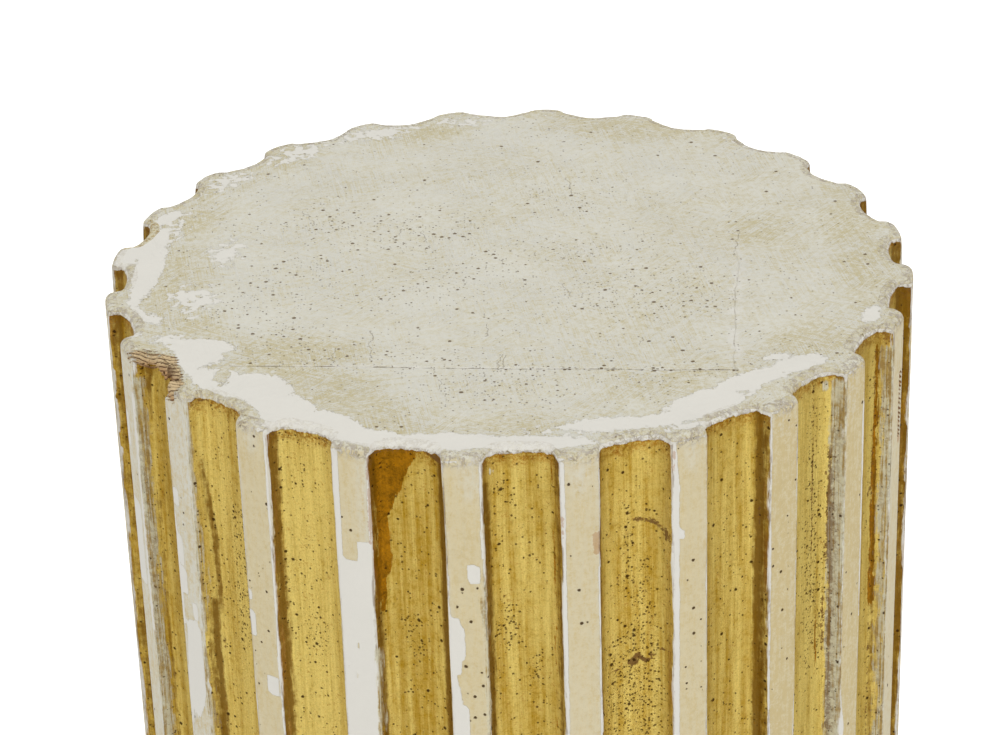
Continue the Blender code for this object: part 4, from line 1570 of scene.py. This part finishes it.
def make_camera(lens):
    data = bpy.data.cameras.new("camera")
    data.lens = lens
    data.sensor_width = 36.0
    camera = new_object("camera", data)
    flat = math.cos(CAMERA_PITCH)
    forward = Vector((math.sin(CAMERA_YAW) * flat, math.cos(CAMERA_YAW) * flat, -math.sin(CAMERA_PITCH)))
    level_right = forward.cross(Vector((0, 0, 1))).normalized()
    level_up = level_right.cross(forward)
    right = level_right * math.cos(CAMERA_ROLL) + level_up * math.sin(CAMERA_ROLL)
    up = level_up * math.cos(CAMERA_ROLL) - level_right * math.sin(CAMERA_ROLL)
    turn = Matrix((right, up, -forward)).transposed().to_4x4()
    camera.matrix_world = Matrix.Translation(Vector((0, 0, SHAFT_HIGH.z)) + CAMERA_FROM_TOP) @ turn
    bpy.context.scene.camera = camera


def make_softbox(name, place, size, power, only_reflected=False):
    """A square area light that faces the upper part of the shaft. It can show in reflections alone."""
    data = bpy.data.lights.new(name, "AREA")
    data.size = size
    data.energy = power
    light = new_object(name, data)
    light.visible_diffuse = not only_reflected
    aim = Vector((0, 0, SHAFT_HIGH.z * 0.8)) - Vector(place)
    light.rotation_euler = aim.to_track_quat("-Z", "Y").to_euler()
    light.location = place


def make_world(strength):
    """Even white surroundings, a little darker low down and behind for the gilding to reflect."""
    world = bpy.data.worlds.new("studio")
    world.use_nodes = True
    world.node_tree.nodes.clear()
    nodes = Nodes(world.node_tree)
    aim = nodes.add("ShaderNodeSeparateXYZ", {0: nodes.add("ShaderNodeTexCoord", {})["Generated"]})
    level = nodes.spread(aim["Z"], -0.2, 1.0, 0.80, 1.10)
    behind = nodes.spread(aim["Y"], -1.0, 1.0, 1.05, 0.90)
    glow = level * behind * strength
    to_camera = nodes.add("ShaderNodeLightPath", {})["Is Camera Ray"]
    glow = nodes.tint(to_camera, nodes.tint(glow, (0, 0, 0), (1, 1, 1)), (1, 1, 1))
    lit = world.node_tree.nodes.new("ShaderNodeBackground")
    nodes.feed(lit.inputs["Color"], glow)
    output = world.node_tree.nodes.new("ShaderNodeOutputWorld")
    world.node_tree.links.new(lit.outputs[0], output.inputs["Surface"])
    bpy.context.scene.world = world


def make_floor():
    """A wide white floor that keeps white in the camera's view."""
    mesh = bpy.data.meshes.new("floor")
    reach = 30.0
    corners = [(-reach, -reach, 0), (reach, -reach, 0), (reach, reach, 0), (-reach, reach, 0)]
    mesh.from_pydata(corners, [], [(0, 1, 2, 3)])
    material, nodes, shader = new_material("floor")
    shader.inputs["Base Color"].default_value = (0.86, 0.86, 0.86, 1)
    shader.inputs["Roughness"].default_value = 0.9
    shader.inputs["Emission Color"].default_value = (1, 1, 1, 1)
    to_camera = nodes.add("ShaderNodeLightPath", {})["Is Camera Ray"]
    nodes.feed(shader.inputs["Emission Strength"], nodes.spread(to_camera, 0, 1, 0.10, 0.60))
    mesh.materials.append(material)
    floor = new_object("floor", mesh)
    floor.location.z = PLINTH_LOW.z - 0.5 * MM


class MakeStage(bpy.types.Operator):
    """Make the floor, the soft light and the camera"""

    bl_idname = "pedestal.stage"
    bl_label = "Stage"

    def execute(self, context):
        stage = context.scene.pedestal_stage
        context.scene.view_settings.view_transform = "Standard"
        make_camera(stage.lens)
        make_world(stage.world_strength)
        make_floor()
        make_softbox("key", (1.5, -2.2, 2.0), 1.2, stage.key_power)
        make_softbox("fill", (-2.2, -1.4, 1.8), 1.4, stage.fill_power)
        make_softbox("overhead", (0.0, 0.4, 3.0), 1.6, stage.top_power)
        make_softbox("right strip", (0.60, -1.25, 0.30), 0.45, stage.strip_power, only_reflected=True)
        make_softbox("left strip", (-1.15, -0.75, 0.30), 0.55, stage.strip_power * 0.8, only_reflected=True)
        return {"FINISHED"}


class PedestalPanel(bpy.types.Panel):
    """Lists the pieces of the pedestal and the settings that they use"""

    bl_idname = "VIEW3D_PT_pedestal"
    bl_label = "Fluted pedestal"
    bl_space_type = "VIEW_3D"
    bl_region_type = "UI"
    bl_category = "Pedestal"

    def draw(self, context):
        for operator in OPERATORS:
            self.layout.operator(operator.bl_idname)
        scene = context.scene
        for owner in (scene.pedestal_sizes, scene.pedestal_colours, scene.pedestal_stage):
            for name in owner.__annotations__:
                self.layout.prop(owner, name)


OPERATORS = (MakeShaftAndTop, MakeBase, MakeStage)
CLASSES = (PedestalSizes, PedestalColours, PedestalStage, *OPERATORS, PedestalPanel)


def register():
    for each in CLASSES:
        bpy.utils.register_class(each)
    bpy.types.Scene.pedestal_sizes = PointerProperty(type=PedestalSizes)
    bpy.types.Scene.pedestal_colours = PointerProperty(type=PedestalColours)
    bpy.types.Scene.pedestal_stage = PointerProperty(type=PedestalStage)


def unregister():
    del bpy.types.Scene.pedestal_sizes
    del bpy.types.Scene.pedestal_colours
    del bpy.types.Scene.pedestal_stage
    for each in reversed(CLASSES):
        bpy.utils.unregister_class(each)


def main():
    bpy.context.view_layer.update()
    register()
    bpy.ops.pedestal.shaft_and_top()
    bpy.ops.pedestal.base()
    bpy.ops.pedestal.stage()


if __name__ == "__main__":
    main()
